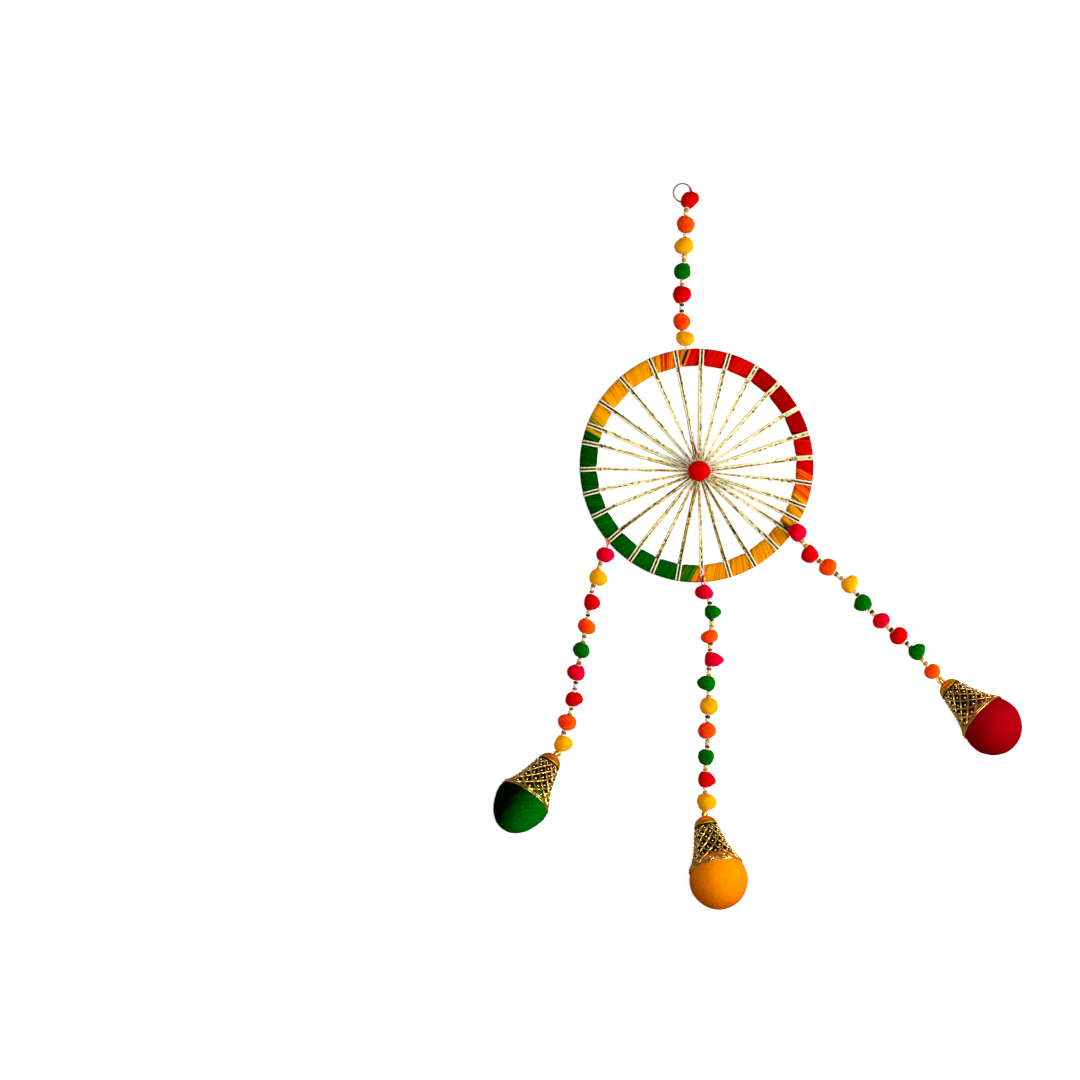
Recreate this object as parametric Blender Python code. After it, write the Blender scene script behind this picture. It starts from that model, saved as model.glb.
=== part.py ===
"""A toran, the door hanging of felt pompoms, laid out on a flat surface.

A hoop is wound with yarn in three colours and laced with gold cord that gathers in a
knot at its middle. One string of pompoms runs up to the hanging ring, and three run
down to bells: open gilt caps, each with a velvet ball seated in its mouth.
Metres, +Z up, +Y towards the hanging ring. The tables are in millimetres.
"""
import math
from collections import namedtuple

import bmesh
import bpy
from mathutils import Matrix, Vector

MM = 0.001
CLEAR = 0.3 * MM

# The hoop and its winding
HOOP_RADIUS = 63.5 * MM
BAND_WIDTH = 9.3 * MM
BAND_HEIGHT = 4.2 * MM
BAND_RADIUS = HOOP_RADIUS - BAND_WIDTH / 2
PRESSED_WIDTH = 7.5 * MM
PRESSED_HEIGHT = 3.2 * MM
PRESS_SLOPE = 0.9 * MM
PRESS_SIDE = 1.2 * CLEAR

# The gold cord and the knot at the middle
CORD_WIDTH = 2.2 * MM
CORD_HEIGHT = 0.9 * MM
CORD_ROOT_WIDTH = 0.9 * MM
CORD_INNER_WIDTH = PRESSED_WIDTH + 3 * CLEAR
CORD_INNER_HEIGHT = PRESSED_HEIGHT + 2.6 * CLEAR
HOOP_MID = CORD_INNER_HEIGHT / 2 + CORD_HEIGHT
KNOT_X = 1.2 * MM
KNOT_Y = -3.1 * MM
KNOT_RADIUS = 9.0 * MM
KNOT_HEIGHT = 4.9 * MM
KNOT_LIFT = 0.3 * MM

# Felt pompoms and their threads
POMPOM_SIDES = 9
POMPOM_FLAT = 0.25 * MM
HOLE_RADIUS = 0.85 * MM
THREAD_RADIUS = 0.5 * MM
BEADED_RADIUS = 1.15 * MM
BEAD_GAP = 3 * CLEAR
HUB_POMPOM_SIZE = Vector((12.0, 10.8, 9.4)) * MM
HUB_POMPOM_FLAT = 0.6 * MM

# The hanging ring
RING_X = -7.5 * MM
RING_Y = 148.0 * MM
RING_RADIUS = 5.4 * MM
RING_WIRE = 0.8 * MM

# The bells
BELL_SIDES = 20
LATTICE_ROWS = 5
LATTICE_START = 1.3 * MM
LATTICE_PITCH = 3.05 * MM
STRUT_WIDTH = 1.1 * MM
CAP_WALL = 0.8 * MM
CROWN_LIP_HEIGHT = 24.2 * MM
CROWN_LIP_RADIUS = 6.5 * MM
CROWN_TIP = 29.5 * MM
CROWN_INNER_TIP = 28.0 * MM
BALL_SIDES = 14
BALL_PLAY = 1.2 * CLEAR
LINK_WIDTH = 3.4 * MM
LINK_WIRE = 0.9 * MM

# The cap's outline from its rim up: height and radius in millimetres
CAP_OUTLINE = ((0.0, 15.0), (1.3, 14.4), (3.1, 13.0), (7.2, 11.0), (10.5, 9.8), (15.2, 8.5),
               (20.9, 7.2), (24.2, 5.8))

# The crown's outline above its lip, outside and inside, in millimetres
CROWN_OUTSIDE = ((27.2, 5.2), (29.0, 2.6))
CROWN_INSIDE = ((27.2, 3.6),)

# The rings of a velvet ball outside its cap, in degrees from the pole that faces out,
# and the share of its radius where its end inside the cap is closed
BALL_RINGS = (24, 48, 72, 86, 104)
BALL_CLOSE = 0.45
BALL_INNER_TIP = 9.0 * MM

# A turned pompom from one end of its hole to the other: place along and radius, as
# shares of half its length and half its width
POMPOM_OUTLINE = ((-1.0, 0.38), (-0.62, 0.80), (0.0, 1.0), (0.62, 0.80), (1.0, 0.38))
HOLE_SINK = 0.8

# The corners of half an oval, as shares of its half width and half height
OVAL_CORNERS = ((0.0, 1.0), (0.688, 0.833), (1.0, 0.0), (0.688, -0.833), (0.0, -1.0))

# Each winding with its clock angles, clockwise from the top, and the gold cords on it
Winding = namedtuple("Winding", "name colour start end cords")
WINDINGS = (
    Winding("wrap_red", "yarn_red", -4.7, 93.0, (2.6, 16.3, 31.2, 45.0, 60.4, 73.9, 86.0)),
    Winding("wrap_yellow_right", "yarn_yellow", 93.0, 181.0,
            (99.1, 111.1, 118.5, 125.5, 135.8, 149.8, 163.2, 177.0)),
    Winding("wrap_green", "yarn_green", 181.0, 287.0,
            (189.6, 202.7, 215.1, 229.4, 243.7, 255.6, 268.0, 281.6)),
    Winding("wrap_yellow_left", "yarn_yellow", 287.0, 355.3, (290.7, 303.4, 319.1, 335.9, 349.3)),
)

# Each pompom in plan, from the hoop's middle: its centre, width, length along the
# thread, the turn of its long axis, and the thread's place in the gap that follows it.
# lift is how far it sits above the floor, on the ring or on the hoop's edge.
Pompom = namedtuple("Pompom", "colour x y width length turn gap_x gap_y lift")
TOP_STRING = (
    Pompom("felt_red", -3.5, 144.0, 10.2, 8.1, 12, -5.7, 138.6, 1.1),
    Pompom("felt_orange", -6.0, 130.6, 10.3, 8.4, -8, -6.2, 124.8, 0),
    Pompom("felt_yellow", -6.8, 118.9, 10.6, 8.2, 6, -6.8, 112.3, 0),
    Pompom("felt_green", -7.8, 105.3, 9.5, 8.1, 0, -7.8, 99.4, 0),
    Pompom("felt_red", -7.9, 92.7, 10.1, 8.8, 8, -8.1, 85.6, 0),
    Pompom("felt_orange", -7.9, 78.0, 9.4, 8.3, -4, -8.0, 73.2, 0),
    Pompom("felt_yellow", -5.9, 68.6, 9.9, 7.6, 3, -5.6, 63.9, 0),
)
LEFT_STRING = (
    Pompom("felt_pink", -49.5, -48.3, 10.0, 7.4, -12, -52.6, -54.2, 0),
    Pompom("felt_yellow", -52.9, -61.0, 10.2, 8.0, -18, -56.7, -67.4, 0),
    Pompom("felt_red", -56.5, -74.2, 9.3, 7.7, -12, -58.8, -80.5, 0),
    Pompom("felt_orange", -59.6, -87.2, 10.4, 7.2, -26, -61.1, -93.6, 0),
    Pompom("felt_green", -62.2, -100.2, 9.7, 7.1, -22, -63.6, -106.2, 0),
    Pompom("felt_pink", -65.2, -112.3, 9.4, 7.9, -10, -65.8, -119.4, 0),
    Pompom("felt_red", -66.2, -126.5, 9.3, 7.4, -8, -68.0, -132.6, 0),
    Pompom("felt_orange", -70.3, -139.1, 10.2, 8.0, -20, -72.2, -145.4, 0),
    Pompom("felt_yellow", -72.0, -150.8, 10.4, 7.7, -4, -74.1, -155.2, 0),
)
MIDDLE_STRING = (
    Pompom("felt_pink", 3.6, -68.6, 10.0, 7.2, 0, 7.0, -73.6, 0),
    Pompom("felt_green", 9.0, -79.5, 8.8, 6.9, 0, 8.2, -86.0, 0),
    Pompom("felt_orange", 6.5, -92.8, 9.7, 6.2, 15, 7.3, -99.0, 0),
    Pompom("felt_pink", 9.9, -105.2, 10.3, 7.3, -5, 6.6, -111.4, 0),
    Pompom("felt_green", 5.2, -117.9, 10.3, 7.1, -5, 6.5, -124.0, 0),
    Pompom("felt_yellow", 6.8, -130.6, 10.0, 8.6, -8, 5.9, -137.5, 0),
    Pompom("felt_orange", 5.6, -143.6, 9.9, 7.9, 5, 5.9, -150.8, 0),
    Pompom("felt_green", 5.2, -157.9, 9.1, 7.9, -15, 4.8, -164.1, 0),
    Pompom("felt_red", 5.3, -170.2, 10.0, 7.9, -15, 4.6, -176.4, 0),
    Pompom("felt_yellow", 5.5, -182.4, 10.9, 8.2, -3, 5.0, -186.9, 0),
)
RIGHT_STRING = (
    Pompom("felt_pink", 54.6, -35.9, 10.1, 8.6, 24, 58.4, -42.8, 5.3),
    Pompom("felt_red", 61.0, -48.1, 9.8, 8.2, 40, 66.4, -51.8, 0),
    Pompom("felt_orange", 71.3, -55.0, 9.8, 8.0, 32, 77.2, -60.0, 0),
    Pompom("felt_yellow", 83.3, -64.0, 10.4, 7.4, 50, 86.8, -69.4, 0),
    Pompom("felt_green", 89.7, -74.7, 9.8, 8.0, 40, 95.2, -79.6, 0),
    Pompom("felt_pink", 100.1, -84.0, 9.9, 7.2, 36, 104.6, -88.4, 0),
    Pompom("felt_red", 109.7, -92.4, 10.0, 7.8, 45, 114.6, -97.0, 0),
    Pompom("felt_green", 119.9, -100.6, 10.0, 7.6, 40, 123.6, -106.6, 0),
    Pompom("felt_orange", 127.9, -111.7, 8.6, 7.1, 34, 130.7, -114.9, 0),
)

# Each string with the place where its thread is tied on
Strand = namedtuple("Strand", "name pompoms start_x start_y start_z end_z")
STRINGS = (
    Strand("top", TOP_STRING, -2.4, 148.8, 1.8, 2.9),
    Strand("left", LEFT_STRING, -48.1, -42.6, 2.9, 4.7),
    Strand("middle", MIDDLE_STRING, 3.2, -64.3, 2.9, 4.7),
    Strand("right", RIGHT_STRING, 50.3, -32.7, 6.2, 4.4),
)

# Each bell by the middle of its rim in plan, the heading of its crown in degrees from
# +X, how far the ball's middle sits outside the rim, and half the ball's size across
# and along the bell. The green ball is egg-shaped.
Bell = namedtuple("Bell", "name colour x y heading seat across along")
BELLS = (
    Bell("left", "velvet_green", -93.1, -179.9, 54.8, 0.0, 14.9, 20.8),
    Bell("middle", "velvet_marigold", 10.1, -217.5, 103.0, 7.1, 15.6, 15.6),
    Bell("right", "velvet_crimson", 154.6, -136.5, 138.5, 7.2, 15.5, 15.5),
)

# Each finish by colour, roughness and metallic value
Finish = namedtuple("Finish", "red green blue roughness metallic")
FINISHES = {
    "felt_red": Finish(0.68, 0.005, 0.008, 0.9, 0.0),
    "felt_orange": Finish(0.92, 0.10, 0.005, 0.9, 0.0),
    "felt_yellow": Finish(0.95, 0.45, 0.005, 0.9, 0.0),
    "felt_green": Finish(0.005, 0.13, 0.01, 0.9, 0.0),
    "felt_pink": Finish(0.75, 0.004, 0.06, 0.9, 0.0),
    "yarn_red": Finish(0.60, 0.005, 0.008, 0.5, 0.0),
    "yarn_yellow": Finish(0.80, 0.36, 0.01, 0.5, 0.0),
    "yarn_green": Finish(0.004, 0.10, 0.006, 0.5, 0.0),
    "cord_gold": Finish(0.80, 0.62, 0.30, 0.35, 1.0),
    "beads_gold": Finish(0.75, 0.55, 0.28, 0.3, 1.0),
    "cap_gilt": Finish(0.72, 0.45, 0.12, 0.3, 1.0),
    "ring_wire": Finish(0.70, 0.58, 0.52, 0.3, 1.0),
    "velvet_green": Finish(0.004, 0.10, 0.008, 0.95, 0.0),
    "velvet_marigold": Finish(0.80, 0.22, 0.008, 0.95, 0.0),
    "velvet_crimson": Finish(0.35, 0.003, 0.008, 0.95, 0.0),
}


def clear_scene():
    for old in list(bpy.data.objects):
        bpy.data.objects.remove(old, do_unlink=True)


def finish_material(name):
    """The material of one finish, made the first time that it is asked for."""
    if name in bpy.data.materials:
        return bpy.data.materials[name]
    finish = FINISHES[name]
    material = bpy.data.materials.new(name)
    material.use_nodes = True
    shader = material.node_tree.nodes["Principled BSDF"]
    shader.inputs["Base Color"].default_value = (finish.red, finish.green, finish.blue, 1.0)
    shader.inputs["Roughness"].default_value = finish.roughness
    shader.inputs["Metallic"].default_value = finish.metallic
    return material


def place_object(name, bm, material, root, smooth=True):
    """Turn a bmesh into a named object under the root, with its faces pointing out."""
    bmesh.ops.recalc_face_normals(bm, faces=bm.faces)
    mesh = bpy.data.meshes.new(name)
    bm.to_mesh(mesh)
    bm.free()
    if smooth:
        mesh.shade_smooth()
        mesh.set_sharp_from_angle(angle=math.radians(60))
    mesh.materials.append(finish_material(material))
    part = bpy.data.objects.new(name, mesh)
    bpy.context.collection.objects.link(part)
    part.parent = root
    return part


def add_ring(bm, points):
    return [bm.verts.new(point) for point in points]


def bridge(bm, first, second):
    """A band of four-sided faces between two closed rings of vertices."""
    count = len(first)
    for k in range(count):
        after = (k + 1) % count
        bm.faces.new((first[k], first[after], second[after], second[k]))


def fan(bm, ring, tip):
    """Close a ring of vertices with triangles to one point."""
    count = len(ring)
    for k in range(count):
        bm.faces.new((ring[k], ring[(k + 1) % count], tip))


def clock_direction(angle):
    """A unit vector at a clock angle in degrees, clockwise from +Y."""
    turn = math.radians(angle)
    return Vector((math.sin(turn), math.cos(turn), 0.0))


def oval_points(width, height):
    """The eight corners of the band's section, as pairs of out and up."""
    half = [(out * width / 2, up * height / 2) for out, up in OVAL_CORNERS]
    back = [(-out, up) for out, up in reversed(half[1:-1])]
    return half + back


def winding_stations(winding):
    """Clock angles along one winding, each with True where a cord presses it in."""
    end_gap = math.degrees(CLEAR / 2 / BAND_RADIUS)
    pressed = math.degrees((CORD_WIDTH / 2 + PRESS_SIDE) / BAND_RADIUS)
    full = pressed + math.degrees(PRESS_SLOPE / BAND_RADIUS)
    stations = [(winding.start + end_gap, False)]
    for angle in winding.cords:
        stations += [(angle - full, False), (angle - pressed, True)]
        stations += [(angle + pressed, True), (angle + full, False)]
    stations.append((winding.end - end_gap, False))
    return stations


def make_winding(winding, root):
    """One colour of yarn round the hoop, drawn in under every gold cord."""
    bm = bmesh.new()
    rings = []
    for angle, is_pressed in winding_stations(winding):
        out = clock_direction(angle)
        width = PRESSED_WIDTH if is_pressed else BAND_WIDTH
        height = PRESSED_HEIGHT if is_pressed else BAND_HEIGHT
        centre = out * BAND_RADIUS + Vector((0, 0, HOOP_MID))
        points = [centre + out * x + Vector((0, 0, z)) for x, z in oval_points(width, height)]
        rings.append(add_ring(bm, points))
    for first, second in zip(rings, rings[1:]):
        bridge(bm, first, second)
    bm.faces.new(rings[0])
    bm.faces.new(rings[-1])
    return place_object(winding.name, bm, winding.colour, root)


def cord_ring(bm, angle, out_inner, up_inner, out_outer, up_outer):
    """Four corners of the gold cord where it passes round the band."""
    out = clock_direction(angle)
    side = Vector((0, 0, 1)).cross(out) * (CORD_WIDTH / 2)
    inner = out * (BAND_RADIUS + out_inner) + Vector((0, 0, HOOP_MID + up_inner))
    outer = out * (BAND_RADIUS + out_outer) + Vector((0, 0, HOOP_MID + up_outer))
    return add_ring(bm, (inner - side, inner + side, outer + side, outer - side))


def make_spokes(root):
    """The gold cord: a flat knot with 28 loops that run out and round the winding."""
    bm = bmesh.new()
    knot = Vector((KNOT_X, KNOT_Y, 0.0))
    levels = (0.0, KNOT_LIFT, KNOT_LIFT + CORD_HEIGHT, KNOT_HEIGHT - CORD_HEIGHT, KNOT_HEIGHT)
    root_angle = math.asin(CORD_ROOT_WIDTH / 2 / KNOT_RADIUS)
    angles = [angle for winding in WINDINGS for angle in winding.cords]
    posts = []
    for angle in angles:
        heading = clock_direction(angle) * BAND_RADIUS - knot
        toward = math.atan2(heading.y, heading.x)
        for turn in (root_angle, -root_angle):
            foot = Vector((math.cos(toward + turn), math.sin(toward + turn), 0)) * KNOT_RADIUS
            posts.append([bm.verts.new(knot + foot + Vector((0, 0, z))) for z in levels])
    inner = oval_points(CORD_INNER_WIDTH, CORD_INNER_HEIGHT)
    outer = oval_points(CORD_INNER_WIDTH + 2 * CORD_HEIGHT, CORD_INNER_HEIGHT + 2 * CORD_HEIGHT)
    for k, angle in enumerate(angles):
        left, right = posts[2 * k], posts[2 * k + 1]
        past = posts[2 * k - 1]
        for row in range(len(levels) - 1):
            bm.faces.new((past[row], left[row], left[row + 1], past[row + 1]))
        for row in (0, 2):
            bm.faces.new((right[row], left[row], left[row + 1], right[row + 1]))
        rings = [[right[3], left[3], left[4], right[4]]]
        for step in range(len(OVAL_CORNERS)):
            rings.append(cord_ring(bm, angle, *inner[step], *outer[step]))
        rings.append([right[2], left[2], left[1], right[1]])
        for first, second in zip(rings, rings[1:]):
            bridge(bm, first, second)
    bm.faces.new([post[0] for post in posts])
    bm.faces.new([post[-1] for post in posts])
    return place_object("spokes_gold", bm, "cord_gold", root, smooth=False)


def pompom_height(pompom):
    """The height of a pompom's centre, with its flat spot on what carries it."""
    return pompom.lift * MM + pompom.width * MM / 2 - POMPOM_FLAT


def thread_route(strand):
    """The thread's points: its tie, one in each gap between pompoms, and its end."""
    start = Vector((strand.start_x, strand.start_y, strand.start_z)) * MM
    route = [start]
    for pompom, follower in zip(strand.pompoms, strand.pompoms[1:]):
        height = (pompom_height(pompom) + pompom_height(follower)) / 2
        route.append(Vector((pompom.gap_x * MM, pompom.gap_y * MM, height)))
    last = strand.pompoms[-1]
    route.append(Vector((last.gap_x, last.gap_y, strand.end_z)) * MM)
    return route


def turned_oval(pompom, side):
    """A turned oval read across the thread: half its width, half its length, and its lean.

    The lean is how far the oval slides along the thread for each step to the side.
    """
    wide = pompom.width * MM / 2
    deep = pompom.length * MM / 2
    turn = math.radians(pompom.turn) - math.atan2(side.y, side.x)
    half_width = math.hypot(wide * math.cos(turn), deep * math.sin(turn))
    half_length = wide * deep / half_width
    lean = (wide ** 2 - deep ** 2) * math.sin(turn) * math.cos(turn) / half_width ** 2
    return half_width, half_length, lean


def pompom_frame(pompom, before, after):
    """A pompom's seat on its thread: its origin, the thread, side and up directions,
    and how far its middle lies aside of the thread."""
    along = (after - before).normalized()
    side = Vector((-along.y, along.x, 0)).normalized()
    up = along.cross(side)
    centre = Vector((pompom.x * MM, pompom.y * MM, pompom_height(pompom)))
    origin = before + along * (centre - before).dot(along)
    return origin, along, side, up, centre - origin


def make_pompom(name, pompom, before, after, root):
    """A felt pompom threaded on its cord, sunk in round its two holes."""
    origin, along, side, up, shift = pompom_frame(pompom, before, after)
    half_width, half_length, lean = turned_oval(pompom, side)
    hole = HOLE_RADIUS / half_width
    outline = [(-HOLE_SINK, hole), *POMPOM_OUTLINE, (HOLE_SINK, hole)]
    floor = pompom.lift * MM
    bm = bmesh.new()
    rings = []
    for place, share in outline:
        aside = shift * (share - hole) / (1.0 - hole)
        points = []
        for k in range(POMPOM_SIDES):
            turn = 2 * math.pi * k / POMPOM_SIDES
            across = side * math.cos(turn) + up * math.sin(turn)
            offset = aside + across * share * half_width
            slide = place * half_length - (offset.dot(side) - shift.dot(side)) * lean
            point = origin + offset + along * slide
            point.z = max(point.z, floor)
            points.append(point)
        rings.append(add_ring(bm, points))
    for k, ring in enumerate(rings):
        bridge(bm, ring, rings[(k + 1) % len(rings)])
    return place_object(name, bm, pompom.colour, root)


def make_thread(strand, route, root):
    """One string's thread, thin in each pompom's hole and stout where it is beaded."""
    name = "thread_" + strand.name
    points = [(route[0], THREAD_RADIUS)]
    for k, pompom in enumerate(strand.pompoms):
        before, after = route[k], route[k + 1]
        origin, along, side, up, shift = pompom_frame(pompom, before, after)
        half_width, half_length, lean = turned_oval(pompom, side)
        middle = origin + along * shift.dot(side) * lean
        reach = HOLE_SINK * half_length + abs(lean) * BEADED_RADIUS + BEAD_GAP
        if k > 0:
            points.append((middle - along * reach, BEADED_RADIUS))
            points.append((middle - along * (reach - CLEAR), THREAD_RADIUS))
        if k < len(strand.pompoms) - 1:
            points.append((middle + along * (reach - CLEAR), THREAD_RADIUS))
            points.append((middle + along * reach, BEADED_RADIUS))
            points.append((after, BEADED_RADIUS))
    points.append((route[-1], THREAD_RADIUS))
    curve = bpy.data.curves.new(name, "CURVE")
    curve.dimensions = "3D"
    curve.bevel_depth = 1.0
    curve.bevel_resolution = 1
    curve.use_fill_caps = True
    spline = curve.splines.new("POLY")
    spline.points.add(len(points) - 1)
    for point, (place, radius) in zip(spline.points, points):
        point.co = (*place, 1.0)
        point.radius = radius
    curve.materials.append(finish_material("beads_gold"))
    part = bpy.data.objects.new(name, curve)
    bpy.context.collection.objects.link(part)
    part.parent = root
    return part


def make_hub_pompom(root):
    """The pompom sewn on the knot, an oblate ball with a flat seat."""
    bm = bmesh.new()
    bmesh.ops.create_uvsphere(bm, u_segments=12, v_segments=7, radius=0.5)
    seat = HUB_POMPOM_SIZE.z / 2 - HUB_POMPOM_FLAT
    for vert in bm.verts:
        vert.co = vert.co * HUB_POMPOM_SIZE
        vert.co.z = max(vert.co.z, -seat)
    part = place_object("pompom_hub", bm, "felt_red", root)
    part.location = (KNOT_X, KNOT_Y, KNOT_HEIGHT + CLEAR + seat)
    return part


def make_wire_ring(name, length, width, wire, steps, material, root):
    """An oval ring of round wire in its own XY plane, its long way along X."""
    bm = bmesh.new()
    sides = 6
    rings = []
    for step in range(steps):
        turn = 2 * math.pi * step / steps
        centre = Vector((math.cos(turn) * (length - wire), math.sin(turn) * (width - wire), 0)) / 2
        out = Vector((math.cos(turn) * width, math.sin(turn) * length, 0)).normalized()
        points = []
        for k in range(sides):
            lean = 2 * math.pi * k / sides
            rim = out * math.cos(lean) + Vector((0, 0, math.sin(lean)))
            points.append(centre + rim * wire / 2)
        rings.append(add_ring(bm, points))
    for k, ring in enumerate(rings):
        bridge(bm, ring, rings[(k + 1) % len(rings)])
    return place_object(name, bm, material, root)


def make_hanging_ring(root):
    size = 2 * RING_RADIUS
    part = make_wire_ring("ring_hanging", size, size, RING_WIRE, 24, "ring_wire", root)
    part.location = (RING_X, RING_Y, RING_WIRE / 2)
    return part


def cap_radius(height):
    """The cap's outer radius at a height above its rim, read from its outline."""
    outline = [(h * MM, r * MM) for h, r in CAP_OUTLINE]
    for (low, low_radius), (high, high_radius) in zip(outline, outline[1:]):
        if height <= high:
            share = (height - low) / (high - low)
            return low_radius + share * (high_radius - low_radius)
    return outline[-1][1]


def bell_point(column, height, radius):
    """A place on the bell's turned form. A flat side of it faces the floor."""
    turn = 2 * math.pi * (column + 0.5) / BELL_SIDES
    return Vector((radius * math.cos(turn), radius * math.sin(turn), height))


def lattice_height(row):
    return LATTICE_START + row * LATTICE_PITCH


def open_diamond(bm, outer, inner, column, row):
    """One opening of the lattice: bars with a ridge outside and one inside."""
    around = ((column - 1, row), (column, row - 1), (column + 1, row), (column, row + 1))
    keys = [(c % BELL_SIDES, r) for c, r in around]
    corners = [outer[key].co for key in keys]
    backs = [inner[key].co for key in keys]
    middle = sum(corners + backs, Vector()) / 8
    reach = (corners[0] - corners[2]).length / 2
    rise = (corners[1] - corners[3]).length / 2
    to_bar = reach * rise / math.hypot(reach, rise)
    share = 1.0 - STRUT_WIDTH / 2 / to_bar
    edge = []
    for corner, back in zip(corners, backs):
        halfway = (corner + back) / 2
        edge.append(bm.verts.new(middle + (halfway - middle) * share))
    for k in range(4):
        after = (k + 1) % 4
        bm.faces.new((outer[keys[k]], outer[keys[after]], edge[after], edge[k]))
        bm.faces.new((edge[k], edge[after], inner[keys[after]], inner[keys[k]]))


def close_triangles(bm, shell, row, toward):
    """The closed triangles between a full ring of points and the lattice's first bars."""
    for column in range(BELL_SIDES):
        before = (column - 1) % BELL_SIDES
        after = (column + 1) % BELL_SIDES
        if (column + row) % 2:
            tip = shell[(column, row + toward)]
            bm.faces.new((shell[(before, row)], shell[(column, row)], tip))
            bm.faces.new((shell[(column, row)], shell[(after, row)], tip))


def lattice_points(bm, inset):
    """The lattice's crossings on one side of its wall, every column at its two ends."""
    shell = {}
    for row in range(LATTICE_ROWS + 1):
        height = lattice_height(row)
        for column in range(BELL_SIDES):
            if (column + row) % 2 == 0 or row in (0, LATTICE_ROWS):
                place = bell_point(column, height, cap_radius(height) - inset)
                shell[(column, row)] = bm.verts.new(place)
    return shell


def bell_ring(bm, height, radius):
    return add_ring(bm, [bell_point(k, height, radius) for k in range(BELL_SIDES)])


def make_cap(bell, matrix, root):
    """An open gilt cap: a rim, a lattice of diamonds and a plain domed crown."""
    bm = bmesh.new()
    outer = lattice_points(bm, 0.0)
    inner = lattice_points(bm, CAP_WALL)
    for row in range(1, LATTICE_ROWS):
        for column in range(BELL_SIDES):
            if (column + row) % 2:
                open_diamond(bm, outer, inner, column, row)
    for shell in (outer, inner):
        close_triangles(bm, shell, 0, 1)
        close_triangles(bm, shell, LATTICE_ROWS, -1)
    foot_out = [outer[(k, 0)] for k in range(BELL_SIDES)]
    foot_in = [inner[(k, 0)] for k in range(BELL_SIDES)]
    rim_out = bell_ring(bm, 0.0, cap_radius(0.0))
    rim_in = bell_ring(bm, 0.0, cap_radius(0.0) - CAP_WALL)
    for first, second in zip((foot_out, rim_out, rim_in), (rim_out, rim_in, foot_in)):
        bridge(bm, first, second)
    neck = cap_radius(CROWN_LIP_HEIGHT)
    outside = [(CROWN_LIP_HEIGHT - CAP_WALL / 4, neck), (CROWN_LIP_HEIGHT, CROWN_LIP_RADIUS)]
    outside += [(height * MM, radius * MM) for height, radius in CROWN_OUTSIDE]
    inside = [(CROWN_LIP_HEIGHT, neck - CAP_WALL)]
    inside += [(height * MM, radius * MM) for height, radius in CROWN_INSIDE]
    for shell, profile, tip in ((outer, outside, CROWN_TIP), (inner, inside, CROWN_INNER_TIP)):
        ring = [shell[(k, LATTICE_ROWS)] for k in range(BELL_SIDES)]
        for height, radius in profile:
            above = bell_ring(bm, height, radius)
            bridge(bm, ring, above)
            ring = above
        fan(bm, ring, bm.verts.new((0, 0, tip)))
    part = place_object("bell_cap_" + bell.name, bm, "cap_gilt", root)
    part.matrix_local = matrix
    return part


def make_ball(bell, matrix, root):
    """A velvet ball, squeezed a little where the cap's mouth grips it."""
    middle = -bell.seat * MM
    across = bell.across * MM
    along = bell.along * MM
    flat_side = math.cos(math.pi / BELL_SIDES)
    profile = []
    for angle in BALL_RINGS:
        turn = math.radians(angle)
        height = middle - along * math.cos(turn)
        if height < -MM:
            profile.append((height, across * math.sin(turn)))
    last = min(middle + along * math.sqrt(1 - BALL_CLOSE ** 2), BALL_INNER_TIP - MM)
    tip = min(middle + along, BALL_INNER_TIP)
    for height in (0.0, lattice_height(0), lattice_height(1), last):
        free = across * math.sqrt(1 - ((height - middle) / along) ** 2)
        mouth = (cap_radius(height) - CAP_WALL) * flat_side - BALL_PLAY
        if height <= last:
            profile.append((height, min(free, mouth)))
    bm = bmesh.new()
    rings = []
    for height, radius in profile:
        points = []
        for k in range(BALL_SIDES):
            turn = 2 * math.pi * k / BALL_SIDES
            points.append((radius * math.cos(turn), radius * math.sin(turn), height))
        rings.append(add_ring(bm, points))
    for first, second in zip(rings, rings[1:]):
        bridge(bm, first, second)
    fan(bm, rings[0], bm.verts.new((0, 0, middle - along)))
    fan(bm, rings[-1], bm.verts.new((0, 0, tip)))
    part = place_object("bell_ball_" + bell.name, bm, bell.colour, root)
    part.matrix_local = matrix
    return part


def bell_matrix(bell):
    """Where a bell lies: on its rim and the lip of its crown, crown down."""
    flat_side = math.cos(math.pi / BELL_SIDES)
    dip = math.atan2((cap_radius(0.0) - CROWN_LIP_RADIUS) * flat_side, CROWN_LIP_HEIGHT)
    heading = math.radians(bell.heading)
    ahead = Vector((math.cos(heading), math.sin(heading), 0))
    axis = ahead * math.cos(dip) - Vector((0, 0, math.sin(dip)))
    side = Vector((ahead.y, -ahead.x, 0))
    down = axis.cross(side)
    rim = Vector((bell.x, bell.y, 0)) * MM
    rim.z = cap_radius(0.0) * flat_side * math.cos(dip)
    matrix = Matrix((side, down, axis)).transposed().to_4x4()
    matrix.translation = rim
    return matrix


def make_link(bell, matrix, thread_end, root):
    """The oval link that joins the thread's end to the crown of a bell."""
    tip = matrix @ Vector((0, 0, CROWN_TIP))
    across = thread_end - tip
    length = across.length - 2 * CLEAR
    part = make_wire_ring("bell_link_" + bell.name, length, LINK_WIDTH, LINK_WIRE, 12,
                          "cap_gilt", root)
    part.rotation_euler = across.to_track_quat("X", "Z").to_euler()
    part.location = (tip + thread_end) / 2
    return part


def centre_on_floor(root, parts):
    """Move the whole to stand with the middle of its box over the origin."""
    bpy.context.view_layer.update()
    graph = bpy.context.evaluated_depsgraph_get()
    points = []
    for part in parts:
        shown = part.evaluated_get(graph)
        mesh = shown.to_mesh()
        points += [part.matrix_world @ vert.co for vert in mesh.vertices]
        shown.to_mesh_clear()
    low = Vector([min(point[k] for point in points) for k in range(3)])
    high = Vector([max(point[k] for point in points) for k in range(3)])
    root.location = (-(low.x + high.x) / 2, -(low.y + high.y) / 2, -low.z)


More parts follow.
